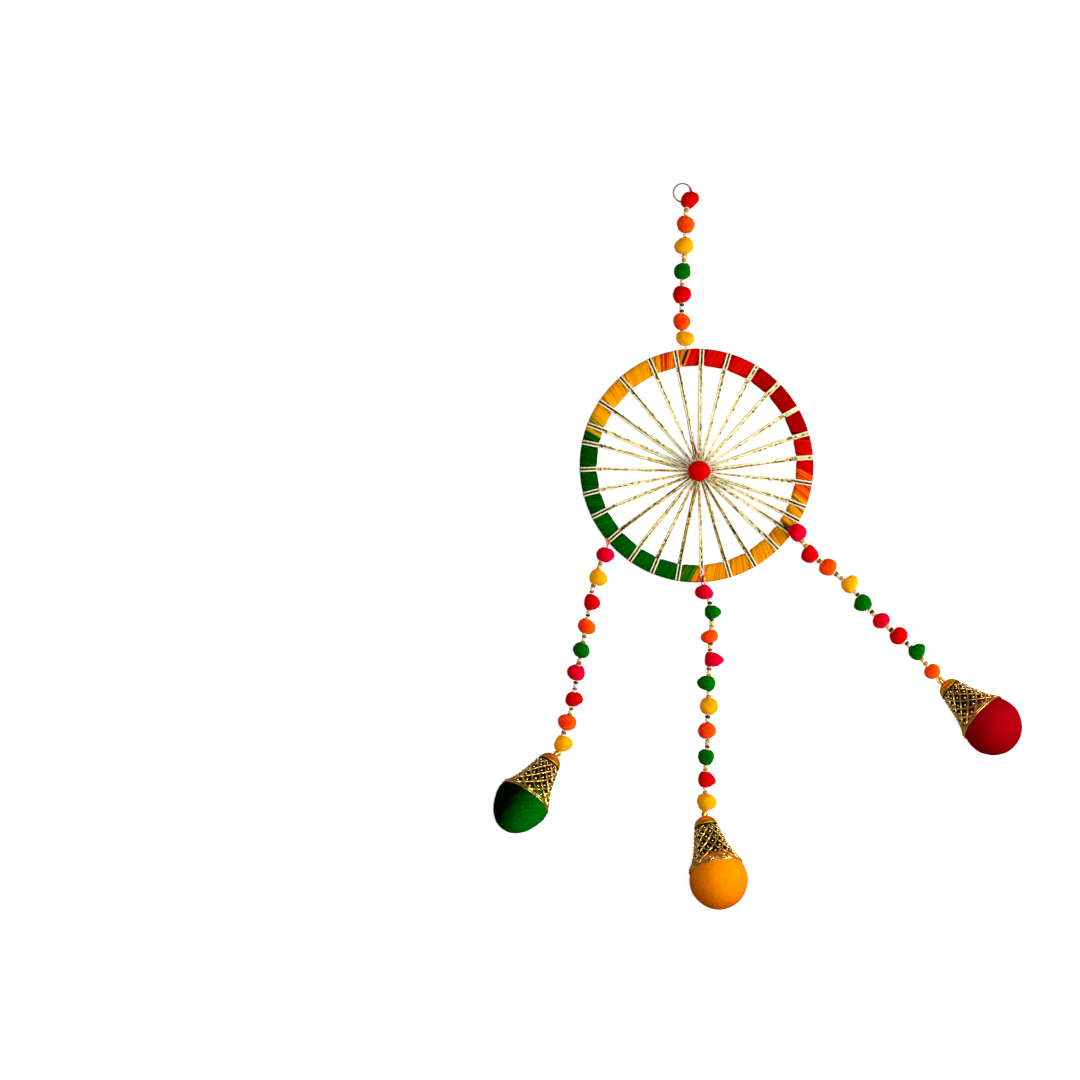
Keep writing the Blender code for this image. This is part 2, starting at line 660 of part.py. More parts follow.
def main():
    clear_scene()
    root = bpy.data.objects.new("toran", None)
    bpy.context.collection.objects.link(root)
    parts = [make_hanging_ring(root), make_spokes(root), make_hub_pompom(root)]
    parts += [make_winding(winding, root) for winding in WINDINGS]
    ends = {}
    for strand in STRINGS:
        route = thread_route(strand)
        ends[strand.name] = route[-1]
        parts.append(make_thread(strand, route, root))
        for k, pompom in enumerate(strand.pompoms):
            name = f"pompom_{strand.name}_{k + 1}"
            parts.append(make_pompom(name, pompom, route[k], route[k + 1], root))
    for bell in BELLS:
        matrix = bell_matrix(bell)
        parts.append(make_cap(bell, matrix, root))
        parts.append(make_ball(bell, matrix, root))
        parts.append(make_link(bell, matrix, ends[bell.name], root))
    centre_on_floor(root, parts)


main()
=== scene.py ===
# %% [markdown]
# # A toran: a door hanging of felt pompoms, gold cord and bells
#
# The hanging lies flat on a pale table and is seen from straight above. Its solids are
# already made and fixed. This lesson dresses them: felt, seed beads, wound yarn, twisted
# gold cord, gilt openwork bells and velvet balls. All sizes in the tables are in
# millimetres, measured from the middle of the hoop.

# %% Load the fixed solids
import math
import random
from collections import namedtuple

import bmesh
import bpy
import numpy as np
from mathutils import Matrix, Vector


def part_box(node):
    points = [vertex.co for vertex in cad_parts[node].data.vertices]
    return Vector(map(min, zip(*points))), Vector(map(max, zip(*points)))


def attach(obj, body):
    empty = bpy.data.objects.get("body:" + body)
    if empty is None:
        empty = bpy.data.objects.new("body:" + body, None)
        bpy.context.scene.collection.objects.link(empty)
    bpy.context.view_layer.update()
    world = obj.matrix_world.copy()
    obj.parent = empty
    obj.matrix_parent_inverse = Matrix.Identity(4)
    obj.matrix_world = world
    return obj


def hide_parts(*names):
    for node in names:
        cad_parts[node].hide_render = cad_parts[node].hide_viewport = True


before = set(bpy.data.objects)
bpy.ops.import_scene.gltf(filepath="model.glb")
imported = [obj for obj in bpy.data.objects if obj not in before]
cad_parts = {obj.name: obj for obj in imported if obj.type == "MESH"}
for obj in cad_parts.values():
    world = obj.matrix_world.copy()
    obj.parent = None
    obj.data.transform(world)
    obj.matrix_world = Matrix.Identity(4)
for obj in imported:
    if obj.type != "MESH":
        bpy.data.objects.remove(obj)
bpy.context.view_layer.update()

# %% [markdown]
# ## Places on the hanging
#
# The tables read most easily from the hoop's middle, while the solids stand round the
# middle of their box. One helper moves a place from the first to the second, and the
# windings' own boxes give the hoop's width across.

# %% From the hoop's middle to the model
MM = 0.001
HOOP_CENTRE = Vector((-32.699, 43.115, 0.0)) * MM


def at(x, y, z=0.0):
    """A place in the model from millimetres off the hoop's middle."""
    return HOOP_CENTRE + Vector((x, y, z)) * MM


def clock(angle):
    """A level unit vector at a clock angle in degrees, clockwise from +Y."""
    turn = math.radians(angle)
    return Vector((math.sin(turn), math.cos(turn), 0.0))


def raised(height):
    """A vector straight up from the table."""
    return Vector((0, 0, height))


wraps = [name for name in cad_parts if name.startswith("wrap_")]
hoop_low = min(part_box(name)[0].x for name in wraps)
hoop_high = max(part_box(name)[1].x for name in wraps)
print("hoop across, mm", round((hoop_high - hoop_low) / MM, 1))

# %% [markdown]
# ## Small helpers for node trees
#
# A tree can be drawn by hand in the node editor. In a script, one helper that adds a node
# and fills its inputs keeps each step to a line, for geometry and for materials alike.

# %% Add a node
def node(tree, kind, inputs=None, **settings):
    """Add a node. Each input is given by name or number: a value, a node or a socket."""
    made = tree.nodes.new(kind)
    for key, value in settings.items():
        setattr(made, key, value)
    for label, value in (inputs or {}).items():
        if isinstance(label, int):
            socket = made.inputs[label]
        else:
            socket = next(s for s in made.inputs if s.name == label and s.enabled)
        if isinstance(value, bpy.types.Node):
            value = next(s for s in value.outputs if s.enabled)
        if isinstance(value, bpy.types.NodeSocket):
            tree.links.new(value, socket)
        else:
            socket.default_value = value
    return made


def maths(tree, operation, *values):
    """One step of arithmetic on numbers."""
    return node(tree, "ShaderNodeMath", dict(enumerate(values)), operation=operation)


def vectors(tree, operation, *values):
    """One step of arithmetic on vectors."""
    return node(tree, "ShaderNodeVectorMath", dict(enumerate(values)), operation=operation)


def scaled(tree, vector, size):
    """A vector made longer or shorter."""
    return node(tree, "ShaderNodeVectorMath", {0: vector, "Scale": size}, operation="SCALE")


def stored(tree, name, data_type="FLOAT"):
    """A value that the points of the mesh carry."""
    return node(tree, "GeometryNodeInputNamedAttribute", {"Name": name}, data_type=data_type)


def circle(tree, points, radius=1.0):
    """A level circle as a curve."""
    return node(tree, "GeometryNodeCurvePrimitiveCircle",
                {"Resolution": points, "Radius": radius})


def reshaped(tree, geometry, places):
    """The same geometry with its points in other places."""
    return node(tree, "GeometryNodeSetPosition", {"Geometry": geometry, "Position": places})


# %% Start, end and run a geometry tree
# The sockets that a tree's named inputs may have
KINDS = {"size": "NodeSocketFloat", "count": "NodeSocketInt", "finish": "NodeSocketMaterial"}


def start_tree(name, **inputs):
    """A geometry tree with named inputs. Returns it with the sockets that give them."""
    tree = bpy.data.node_groups.new(name, "GeometryNodeTree")
    sockets = tree.interface
    sockets.new_socket("Geometry", in_out="INPUT", socket_type="NodeSocketGeometry")
    for label, kind in inputs.items():
        sockets.new_socket(label, in_out="INPUT", socket_type=KINDS[kind])
    sockets.new_socket("Geometry", in_out="OUTPUT", socket_type="NodeSocketGeometry")
    return tree, tree.nodes.new("NodeGroupInput").outputs


def end_tree(tree, geometry, material):
    """The last nodes of every tree: real geometry with its material."""
    real = node(tree, "GeometryNodeRealizeInstances", {"Geometry": geometry})
    done = node(tree, "GeometryNodeSetMaterial", {"Geometry": real, "Material": material})
    node(tree, "NodeGroupOutput", {"Geometry": done})
    print("tree", tree.name, len(tree.nodes), "nodes")
    return tree


def new_object(name, data):
    """A new object at the origin of the scene."""
    made = bpy.data.objects.new(name, data)
    bpy.context.scene.collection.objects.link(made)
    return made


def grow(name, mesh, tree, **values):
    """Run a tree on a mesh and keep the result as a plain object."""
    base = new_object(name + "_base", mesh)
    modifier = base.modifiers.new("tree", "NODES")
    modifier.node_group = tree
    for item in tree.interface.items_tree:
        if item.in_out == "INPUT" and item.name in values:
            modifier[item.identifier] = values[item.name]
    graph = bpy.context.evaluated_depsgraph_get()
    result = bpy.data.meshes.new_from_object(base.evaluated_get(graph), depsgraph=graph)
    bpy.data.objects.remove(base)
    return new_object(name, result)


# %% Join pieces and fix them in place
# The share that is left of what sinks below the table
TABLE_GIVE = 0.02


def join(name, parts):
    """Join several objects into the first and name it."""
    with bpy.context.temp_override(active_object=parts[0], selected_editable_objects=parts):
        bpy.ops.object.join()
    parts[0].name = name
    return parts[0]


def settle(piece, nodes):
    """Press a finished piece flat on the table and fix it in place of its solids."""
    piece.data.name = piece.name
    for vert in piece.data.vertices:
        if vert.co.z < 0:
            vert.co.z *= TABLE_GIVE
    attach(piece, "root")
    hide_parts(*nodes)
    piece.data.calc_loop_triangles()
    print(piece.name, len(piece.data.loop_triangles), "triangles")
    return piece


# %% [markdown]
# ## Paths and the sweep tree
#
# Cord, thread, wire and the bars of the bells are all a small section carried along a
# path. A curve object with a bevel could do it, but a tree can also take a different
# thickness, twist and colour at every point, dye and painted light and shade alike, and
# give the section lobes, which twisted yarn needs. The paths go in as bare edges that
# carry those values.

# %% Bare paths with values at each point
# Thickness is a radius in metres, twist is in radians for each metre
CREAM = (1.0, 0.86, 0.55, 1.0)
# A run's dye is the colour it carries: the real dye of yarn and thread, and painted highlights
# and shade on the gold cord, the seed beads and some threads.
Run = namedtuple("Run", "places thick twist dye closed", defaults=(0.0, CREAM, False))
POINT_VALUES = {
    "thick": ("FLOAT", "value"),
    "twist": ("FLOAT", "value"),
    "axis": ("FLOAT_VECTOR", "vector"),
    "dye": ("FLOAT_COLOR", "color"),
}


def store(mesh, label, values):
    """Give each point of a mesh a value under a name."""
    kind, field = POINT_VALUES[label]
    mesh.attributes.new(label, kind, "POINT").data.foreach_set(field, values)


def lengths_along(places):
    """The distance from the first place to each of them."""
    steps = [(b - a).length for a, b in zip(places, places[1:])]
    return [0.0, *np.cumsum(steps)]


def paths_mesh(name, runs):
    """One mesh of bare edges. Thickness and colour, dye and painted light alike, may be one for
    a run or one for each place.
    """
    places, edges, thick, twist, dye = [], [], [], [], []
    for run in runs:
        first, count = len(places), len(run.places)
        places += run.places
        edges += [(first + k, first + k + 1) for k in range(count - 1)]
        if run.closed:
            edges.append((first + count - 1, first))
        sizes = run.thick if isinstance(run.thick, list) else [run.thick] * count
        thick += sizes
        twist += [run.twist * length for length in lengths_along(run.places)]
        dyes_and_light = run.dye if isinstance(run.dye, list) else [run.dye] * count
        dye += [channel for each in dyes_and_light for channel in each]
    mesh = bpy.data.meshes.new(name)
    mesh.from_pydata(places, edges, [])
    store(mesh, "thick", thick)
    store(mesh, "twist", twist)
    store(mesh, "dye", dye)
    return mesh


def curve_through(places, step):
    """A smooth path through the given places, with points about one step apart."""
    ends = [places[0] * 2 - places[1], *places, places[-1] * 2 - places[-2]]
    path = []
    for a, b, c, d in zip(ends, ends[1:], ends[2:], ends[3:]):
        count = max(1, round((c - b).length / step))
        for k in range(count):
            t = k / count
            path.append((b * 2 + (c - a) * t + (a * 2 - b * 5 + c * 4 - d) * t ** 2
                         + (b * 3 - a - c * 3 + d) * t ** 3) / 2)
    return [*path, places[-1]]


# %% The sweep tree
def skin(tree, path, section, **more):
    """A smooth tube: a section carried along a path."""
    inputs = {label.replace("_", " "): value for label, value in more.items()}
    tube = node(tree, "GeometryNodeCurveToMesh",
                {"Curve": path, "Profile Curve": section, **inputs})
    return node(tree, "GeometryNodeSetShadeSmooth", {"Geometry": tube})


def make_sweep_tree():
    """A tree that carries a lobed section along the bare edges of a mesh."""
    tree, given = start_tree("sweep", Sides="count", Lobes="size", Flat="size",
                             Finish="finish")
    odd = maths(tree, "MODULO", node(tree, "GeometryNodeInputIndex"), 2.0)
    pinch = maths(tree, "MULTIPLY_ADD", odd, given["Lobes"], 1.0)
    pinched = scaled(tree, node(tree, "GeometryNodeInputPosition"), pinch)
    flat = node(tree, "ShaderNodeCombineXYZ", {"X": 1.0, "Y": given["Flat"], "Z": 1.0})
    section = reshaped(tree, circle(tree, given["Sides"]),
                       vectors(tree, "MULTIPLY", pinched, flat))
    path = node(tree, "GeometryNodeMeshToCurve", {"Mesh": given["Geometry"]})
    path = node(tree, "GeometryNodeSetCurveTilt",
                {"Curve": path, "Tilt": stored(tree, "twist")})
    swept = skin(tree, path, section, Scale=stored(tree, "thick"), Fill_Caps=True)
    return end_tree(tree, swept, given["Finish"])


SWEEP = make_sweep_tree()


def sweep(name, runs, finish, sides=6, lobes=0.0, flat=1.0):
    """Sweep one section along some runs."""
    return grow(name, paths_mesh(name, runs), SWEEP, Sides=sides, Lobes=lobes, Flat=flat,
                Finish=finish)


# %% [markdown]
# ## Felt, velvet and their fibres
#
# A felt pompom is wool rolled wet until it mats, so its surface is smooth from far and
# short-haired from near. A plain ball would look moulded. The tree rounds off the solid,
# swells it unevenly, and plants short fibres that lean over. The same tree, with finer
# and straighter fibres, gives the pile of the velvet balls.

# %% The fibre tree
def make_fibre_tree():
    """A tree that rounds and swells a form, and plants leaning fibres on it."""
    tree, given = start_tree(
        "fibres", Levels="count", Swell="size", Grain="size", Lumps="size",
        Density="size", Length="size", Width="size", Lean="size", Seed="count",
        Finish="finish")
    ball = node(tree, "GeometryNodeSubdivisionSurface",
                {"Mesh": given["Geometry"], "Level": given["Levels"]})
    noise = node(tree, "ShaderNodeTexNoise", {"Scale": given["Grain"], "Detail": 2.0})
    bump = maths(tree, "SUBTRACT", noise.outputs["Fac"], 0.5)
    height = maths(tree, "MULTIPLY_ADD", bump, given["Lumps"], given["Swell"])
    push = scaled(tree, node(tree, "GeometryNodeInputNormal"), height)
    ball = node(tree, "GeometryNodeSetPosition", {"Geometry": ball, "Offset": push})
    ball = node(tree, "GeometryNodeSetShadeSmooth", {"Geometry": ball})
    roots = node(tree, "GeometryNodeDistributePointsOnFaces",
                 {"Mesh": ball, "Density": given["Density"], "Seed": given["Seed"]})
    stray = node(tree, "FunctionNodeRandomValue",
                 {"Min": (-1.0,) * 3, "Max": (1.0,) * 3, "Seed": given["Seed"]},
                 data_type="FLOAT_VECTOR")
    growth = vectors(tree, "ADD", roots.outputs["Normal"], scaled(tree, stray, given["Lean"]))
    turn = node(tree, "FunctionNodeAlignRotationToVector", {"Vector": growth}, axis="Z")
    size = node(tree, "FunctionNodeRandomValue",
                {"Min": 0.5, "Max": 1.2, "Seed": given["Seed"]}, data_type="FLOAT")
    fibre = node(tree, "GeometryNodeMeshCone",
                 {"Vertices": 3, "Radius Top": 0.0, "Radius Bottom": given["Width"],
                  "Depth": given["Length"]})
    planted = node(tree, "GeometryNodeInstanceOnPoints",
                   {"Points": roots.outputs["Points"], "Instance": fibre,
                    "Rotation": turn, "Scale": size})
    both = node(tree, "GeometryNodeJoinGeometry", {"Geometry": ball})
    tree.links.new(planted.outputs[0], both.inputs[0])
    return end_tree(tree, both, given["Finish"])


FIBRES = make_fibre_tree()


# %% Copy solids as closed meshes
SAME_PLACE = 0.01 * MM


def solid_copy(name, nodes):
    """One closed mesh from the triangles of some solids."""
    copy = bmesh.new()
    for each in nodes:
        copy.from_mesh(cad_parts[each].data)
    bmesh.ops.remove_doubles(copy, verts=copy.verts, dist=SAME_PLACE)
    mesh = bpy.data.meshes.new(name)
    copy.to_mesh(mesh)
    copy.free()
    for attribute in [a for a in mesh.attributes if a.name.startswith("sharp")]:
        mesh.attributes.remove(attribute)
    return mesh


# %% [markdown]
# ## Finishes
#
# Each finish is a Principled shader whose colour, roughness and bump come from noise at
# the scale of the real stuff. Wool gets a soft two-tone mottle and a fine bump, and a
# lighter third tone is painted on the side that faces right and down: painted light.
# Each velvet ball is painted dark on one side and bright on the other: painted shade and
# painted light.

# %% Shader helpers
# Where on the scale of a noise its mottle starts and ends
MOTTLE_ENDS = (0.3, 0.7)


def linear(red, green, blue):
    """A colour on the 0 to 255 screen scale, as the linear values that a shader takes."""
    shares = [c / 255 for c in (red, green, blue)]
    return (*[((s + 0.055) / 1.055) ** 2.4 if s > 0.04 else s / 12.92 for s in shares], 1.0)


def grey(share):
    """A grey, from black at 0 to white at 1."""
    return (share, share, share, 1.0)


Finish = namedtuple("Finish", "material tree shader where")


def start_finish(name, **values):
    """A new material with plain values set on its shader's own sockets."""
    material = bpy.data.materials.new(name)
    material.use_nodes = True
    tree = material.node_tree
    shader = tree.nodes["Principled BSDF"]
    for label, value in values.items():
        shader.inputs[label.replace("_", " ")].default_value = value
    where = node(tree, "ShaderNodeTexCoord").outputs["Object"]
    return Finish(material, tree, shader, where)


def noise(finish, scale, detail):
    """Noise on the piece's own places."""
    return node(finish.tree, "ShaderNodeTexNoise",
                {"Vector": finish.where, "Scale": scale, "Detail": detail}).outputs["Fac"]


def feed(finish, label, value):
    """Link a node's output to the shader's socket of that name."""
    finish.tree.links.new(value, finish.shader.inputs[label])


def mottle(finish, scale, low, high):
    """Noise at a scale, spread between two colours."""
    spread = noise(finish, scale, detail=3.0)
    ramp = node(finish.tree, "ShaderNodeValToRGB", {"Fac": spread})
    for end, place, colour in zip(ramp.color_ramp.elements, MOTTLE_ENDS, (low, high)):
        end.position = place
        end.color = colour
    return ramp.outputs["Color"]


def blended(tree, share, first, second, mode="MIX"):
    """Two colours mixed or multiplied."""
    mix = node(tree, "ShaderNodeMix", {"Factor": share, 6: first, 7: second},
               data_type="RGBA", blend_type=mode)
    return mix.outputs[2]


def speckled(finish, colour, scale, darkest):
    """A colour with fine specks, from a darker share of it to the whole."""
    specks = mottle(finish, scale, grey(darkest), grey(1.0))
    return blended(finish.tree, 1.0, colour, specks, "MULTIPLY")


def across_form(tree, towards, low, high, first, last):
    """A change of colour from the side that faces away from a direction to the other: painted
    light and shade.
    """
    facing = node(tree, "ShaderNodeNewGeometry").outputs["Normal"]
    along = vectors(tree, "DOT_PRODUCT", facing, Vector(towards).normalized())
    share = node(tree, "ShaderNodeMapRange",
                 {"Value": along.outputs["Value"], "From Min": first, "From Max": last})
    return blended(tree, share.outputs["Result"], low, high)


def end_finish(finish, colour, scale, strength, depth):
    """Give a material its colour and a fine bump from noise."""
    bump = node(finish.tree, "ShaderNodeBump",
                {"Height": noise(finish, scale, detail=4.0), "Strength": strength,
                 "Distance": depth})
    feed(finish, "Base Color", colour)
    feed(finish, "Normal", bump.outputs["Normal"])
    return finish.material


# %% Felt and velvet
# The way the felt's lighter third tone faces: painted light on the side towards the right and
# down.
PAINTED_LIGHT_SIDE = (0.5, -0.1, -0.85)


def make_felt(name, low, high, lit_tone):
    """Wool in two tones, with a lighter third painted on the side that faces right and down, as
    painted light.
    """
    felt = start_finish(name, Roughness=1.0, Specular_IOR_Level=0.0)
    wool = mottle(felt, 420.0, linear(*low), linear(*high))
    wool = across_form(felt.tree, PAINTED_LIGHT_SIDE, wool, linear(*lit_tone), first=-0.8, last=0.4)
    return end_finish(felt, speckled(felt, wool, 2600.0, 0.8), scale=3500.0, strength=0.4,
                      depth=0.15 * MM)


# Each wool: two tones, then a lighter tone painted on the side that faces right and down, as
# painted light.
WOOLS = {
    "red": ((195, 0, 0), (222, 2, 0), (228, 0, 24)),
    "orange": ((250, 26, 0), (255, 80, 0), (255, 108, 0)),
    "yellow": ((250, 146, 0), (253, 176, 0), (255, 196, 0)),
    "green": ((0, 78, 0), (0, 102, 0), (0, 134, 0)),
    "pink": ((212, 0, 12), (226, 0, 30), (248, 0, 78)),
}
FELTS = {colour: make_felt(f"felt_{colour}_wool", *tones) for colour, tones in WOOLS.items()}

# Each ball's colour runs from low on one side to high on the other: the velvet's own colour,
# with painted shade at the low end and painted light at the high end.
Pile = namedtuple("Pile", "colour towards first last low high worn")
PILES = {
    "left": Pile("green", (0.72, -0.66, 0.2), -0.25, 0.8, (0, 6, 0), (0, 118, 6), 0.35),
    "middle": Pile("marigold", (0.4, 0.6, 0.65), -0.4, 1.0, (206, 84, 0), (255, 146, 0), 0.8),
    "right": Pile("crimson", (0.4, 0.8, 0.4), -0.5, 0.9, (132, 0, 0), (160, 0, 14), 0.85),
}


def make_velvet(pile):
    """Pile painted dark on one side of the ball and bright on the other: painted shade and
    painted light.
    """
    velvet = start_finish(f"velvet_{pile.colour}_pile", Roughness=1.0,
                          Specular_IOR_Level=0.0)
    colour = across_form(velvet.tree, pile.towards, linear(*pile.low), linear(*pile.high),
                         pile.first, pile.last)
    return end_finish(velvet, speckled(velvet, colour, 900.0, pile.worn), scale=5000.0,
                      strength=0.4, depth=0.12 * MM)


VELVETS = {name: make_velvet(pile) for name, pile in PILES.items()}
print("felts", *FELTS, "velvets", *VELVETS)


# %% Yarn, thread and metal
# A metal's roughness where it is worn and where it isn't, as shares of its own
SMOOTHEST = 0.7
ROUGHEST = 1.4


def dye_and_light_of(finish):
    """The colour that the points of a piece carry: dye, with painted light and shade on some
    pieces.
    """
    return node(finish.tree, "ShaderNodeAttribute", attribute_name="dye").outputs["Color"]


def make_dyed_and_light(name, roughness, shine):
    """Yarn or cord whose colour comes from the colour each point carries, dye and painted light
    and shade alike, streaked by fine noise.
    """
    yarn = start_finish(name, Roughness=roughness, Specular_IOR_Level=shine)
    return end_finish(yarn, speckled(yarn, dye_and_light_of(yarn), 1500.0, 0.8), scale=6000.0,
                      strength=0.3, depth=0.08 * MM)


def make_metal(name, low, high, roughness, scale):
    """Metal in two tones, worn smoother in places."""
    metal = start_finish(name, Metallic=1.0, Specular_Tint=linear(*low))
    rough = node(metal.tree, "ShaderNodeMapRange",
                 {"Value": noise(metal, scale * 3, detail=2.0),
                  "To Min": roughness * SMOOTHEST, "To Max": roughness * ROUGHEST})
    feed(metal, "Roughness", rough.outputs["Result"])
    colour = mottle(metal, scale, linear(*low), linear(*high))
    return end_finish(metal, colour, scale * 2, strength=0.25, depth=0.05 * MM)


YARN = make_dyed_and_light("wound_yarn", 0.8, 0.0)
TWINE = make_dyed_and_light("tying_thread", 0.7, 0.05)
GOLD_CORD = make_dyed_and_light("gold_cord_twist", 0.45, 0.12)
GILT = make_metal("gilt_caps", (214, 136, 18), (255, 224, 120), 0.26, 600.0)
GILT_RIM = make_metal("gilt_rim", (226, 150, 20), (255, 230, 140), 0.3, 240.0)
GILT_PLAIN = make_metal("gilt_crown", (222, 142, 10), (244, 172, 30), 0.42, 300.0)
PEARL = make_metal("gilt_granules", (255, 226, 150), (255, 246, 214), 0.15, 300.0)
# A near-black metal: painted shade inside the caps and painted shadow lines round them.
CAP_SHADE = make_metal("cap_shade", (10, 3, 1), (58, 16, 6), 0.6, 400.0)
WIRE = make_metal("ring_wire_worn", (56, 24, 12), (178, 140, 120), 0.25, 700.0)
print("finishes", len(bpy.data.materials))

# %% [markdown]
# ## The felt pompoms
#
# Each colour is one piece, because one dye lot of wool makes them all. They could be
# balls placed by hand, but the solids already have the right size, turn and dimples, so
# a copy of them is what the fibre tree grows on.

# %% Grow the pompoms by colour
POMPOM_COLOURS = {
    "top": "red orange yellow green red orange yellow",
    "left": "pink yellow red orange green pink red orange yellow",
    "middle": "pink green orange pink green yellow orange green red yellow",
    "right": "pink red orange yellow green pink red green orange",
}
pompoms = {colour: [] for colour in FELTS}
for string, colours in POMPOM_COLOURS.items():
    for k, colour in enumerate(colours.split()):
        pompoms[colour].append(f"pompom_{string}_{k + 1}")
pompoms["red"].append("pompom_hub")
for colour, nodes in pompoms.items():
    piece = grow("pompoms_" + colour, solid_copy("felt", nodes), FIBRES, Levels=2,
                 Swell=0.5 * MM, Grain=170.0, Lumps=2.2 * MM, Density=2.0e6,
                 Length=0.6 * MM, Width=0.035 * MM, Lean=1.2, Seed=len(nodes),
                 Finish=FELTS[colour])
    settle(piece, nodes)

# %% [markdown]
# ## Threads and seed beads
#
# Each string is one thread with two or three seed beads between its pompoms, half sunk
# in the dimples. A bead is a small ring of glass with a gold lining. They repeat more
# than a hundred times, so a tree sets one small bead on each marked point, turned to
# lie along the thread.

# %% Where the threads run
Strand = namedtuple("Strand", "tie end_z gaps")
STRINGS = {
    "top": Strand((-2.4, 148.8, 1.8), 2.9, (
        (-5.7, 138.6), (-6.2, 124.8), (-6.8, 112.3), (-7.8, 99.4), (-8.1, 85.6),
        (-8.0, 73.2), (-5.6, 63.9))),
    "left": Strand((-48.1, -42.6, 2.9), 4.7, (
        (-52.6, -54.2), (-56.7, -67.4), (-58.8, -80.5), (-61.1, -93.6), (-63.6, -106.2),
        (-65.8, -119.4), (-68.0, -132.6), (-72.2, -145.4), (-74.1, -155.2))),
    "middle": Strand((3.2, -64.3, 2.9), 4.7, (
        (7.0, -73.6), (8.2, -86.0), (7.3, -99.0), (6.6, -111.4), (6.5, -124.0),
        (5.9, -137.5), (5.9, -150.8), (4.8, -164.1), (4.6, -176.4), (5.0, -186.9))),
    "right": Strand((50.3, -32.7, 6.2), 4.4, (
        (58.4, -42.8), (66.4, -51.8), (77.2, -60.0), (86.8, -69.4), (95.2, -79.6),
        (104.6, -88.4), (114.6, -97.0), (123.6, -106.6), (130.7, -114.9))),
}
HALF_POMPOM = 3.9 * MM


def pompom_middle(string, k):
    """The middle of a pompom's own solid."""
    low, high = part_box(f"pompom_{string}_{k + 1}")
    return (low + high) / 2


def route_of(string):
    """The thread's places: its tie, one in each gap, and its end."""
    strand = STRINGS[string]
    route = [at(*strand.tie)]
    for k, gap in enumerate(strand.gaps[:-1]):
        place = at(*gap)
        place.z = (pompom_middle(string, k).z + pompom_middle(string, k + 1).z) / 2
        route.append(place)
    return [*route, at(*strand.gaps[-1], strand.end_z)]


routes = {string: route_of(string) for string in STRINGS}
for string, route in routes.items():
    print(string, "thread, mm", round(lengths_along(route)[-1] / MM, 1))


# %% The bead tree
def set_on_points(tree, points, shape, axis):
    """The shape set on each point, with one of its axes along the one stored there."""
    turn = node(tree, "FunctionNodeAlignRotationToVector",
                {"Vector": stored(tree, "axis", "FLOAT_VECTOR")}, axis=axis)
    return node(tree, "GeometryNodeInstanceOnPoints",
                {"Points": points, "Instance": shape, "Rotation": turn,
                 "Scale": stored(tree, "thick")})


def make_bead_tree():
    """A tree that sets a small ring of an oval section on each point."""
    tree, given = start_tree("beads", Width="size", Length="size", Hole="size",
                             Finish="finish")
    middle = maths(tree, "ADD", given["Width"], given["Hole"])
    wall = maths(tree, "SUBTRACT", given["Width"], given["Hole"])
    size = node(tree, "ShaderNodeCombineXYZ",
                {"X": maths(tree, "MULTIPLY", wall, 0.25),
                 "Y": maths(tree, "MULTIPLY", given["Length"], 0.5), "Z": 1.0})
    loop = circle(tree, points=12, radius=maths(tree, "MULTIPLY", middle, 0.25))
    oval = vectors(tree, "MULTIPLY", node(tree, "GeometryNodeInputPosition"), size)
    bead = skin(tree, loop, reshaped(tree, circle(tree, points=6), oval))
    strung = set_on_points(tree, given["Geometry"], bead, "Z")
    return end_tree(tree, strung, given["Finish"])


BEADS = make_bead_tree()


def make_beads_finish():
    """Glass with a gold lining, in the colour each bead carries; the dark ones are painted
    shade.
    """
    glass = start_finish("seed_beads", Metallic=0.2, Roughness=0.35, Specular_IOR_Level=0.2)
    shade = mottle(glass, 1200.0, (0.6, 0.5, 0.4, 1.0), grey(1.0))
    colour = blended(glass.tree, 0.7, dye_and_light_of(glass), shade, "MULTIPLY")
    return end_finish(glass, colour, scale=2500.0, strength=0.2, depth=0.05 * MM)


SEED_BEADS = make_beads_finish()
# Pale beads are the beads' gold and cream, the cream partly a painted glint. The darker set,
# for every second bead, is painted shade between the beads.
LIGHT_BEADS = (linear(255, 248, 206), linear(255, 240, 180), linear(246, 214, 130))
SHADED_BEADS = (linear(206, 144, 50), linear(150, 92, 24), linear(74, 34, 6))


# %% Points that carry an axis, a size and a dye
def points_mesh(name, rows):
    """A mesh of bare points from rows of place, axis, size and dye."""
    mesh = bpy.data.meshes.new(name)
    mesh.from_pydata([row[0] for row in rows], [], [])
    store(mesh, "axis", [part for row in rows for part in row[1]])
    store(mesh, "thick", [row[2] for row in rows])
    store(mesh, "dye", [part for row in rows for part in row[3]])
    return mesh


# %% Space the beads in a gap
BEAD_LENGTH = 1.7 * MM
BEAD_SINKS = 1.5 * MM
FEWEST_BEADS = 2
BEAD_SIZES = (0.98, 1.14)
chance = random.Random(7)


def beads_in_gap(string, k, route):
    """Rows for the beads between two pompoms, centred on the thread's place there."""
    before, here, after = route[k], route[k + 1], route[k + 2]
    back = (pompom_middle(string, k) - here).length - HALF_POMPOM
    ahead = (pompom_middle(string, k + 1) - here).length - HALF_POMPOM
    room = back + ahead + BEAD_SINKS
    count = max(FEWEST_BEADS, round(room / BEAD_LENGTH))
    start = (ahead - back) / 2 - (count - 1) / 2 * BEAD_LENGTH
    first = chance.randrange(2)
    rows = []
    for n in range(count):
        along = start + n * BEAD_LENGTH
        toward = (after - here).normalized() if along > 0 else (here - before).normalized()
        place = here + toward * along
        # Every second bead is dark: painted shade.
        dyes_and_light = LIGHT_BEADS if (n + first) % 2 else SHADED_BEADS
        rows.append((place, toward, chance.uniform(*BEAD_SIZES), chance.choice(dyes_and_light)))
    return rows


# %% The threads that tie the strings on
TIE_THICK = 0.46 * MM
TIE_STEP = 0.8 * MM
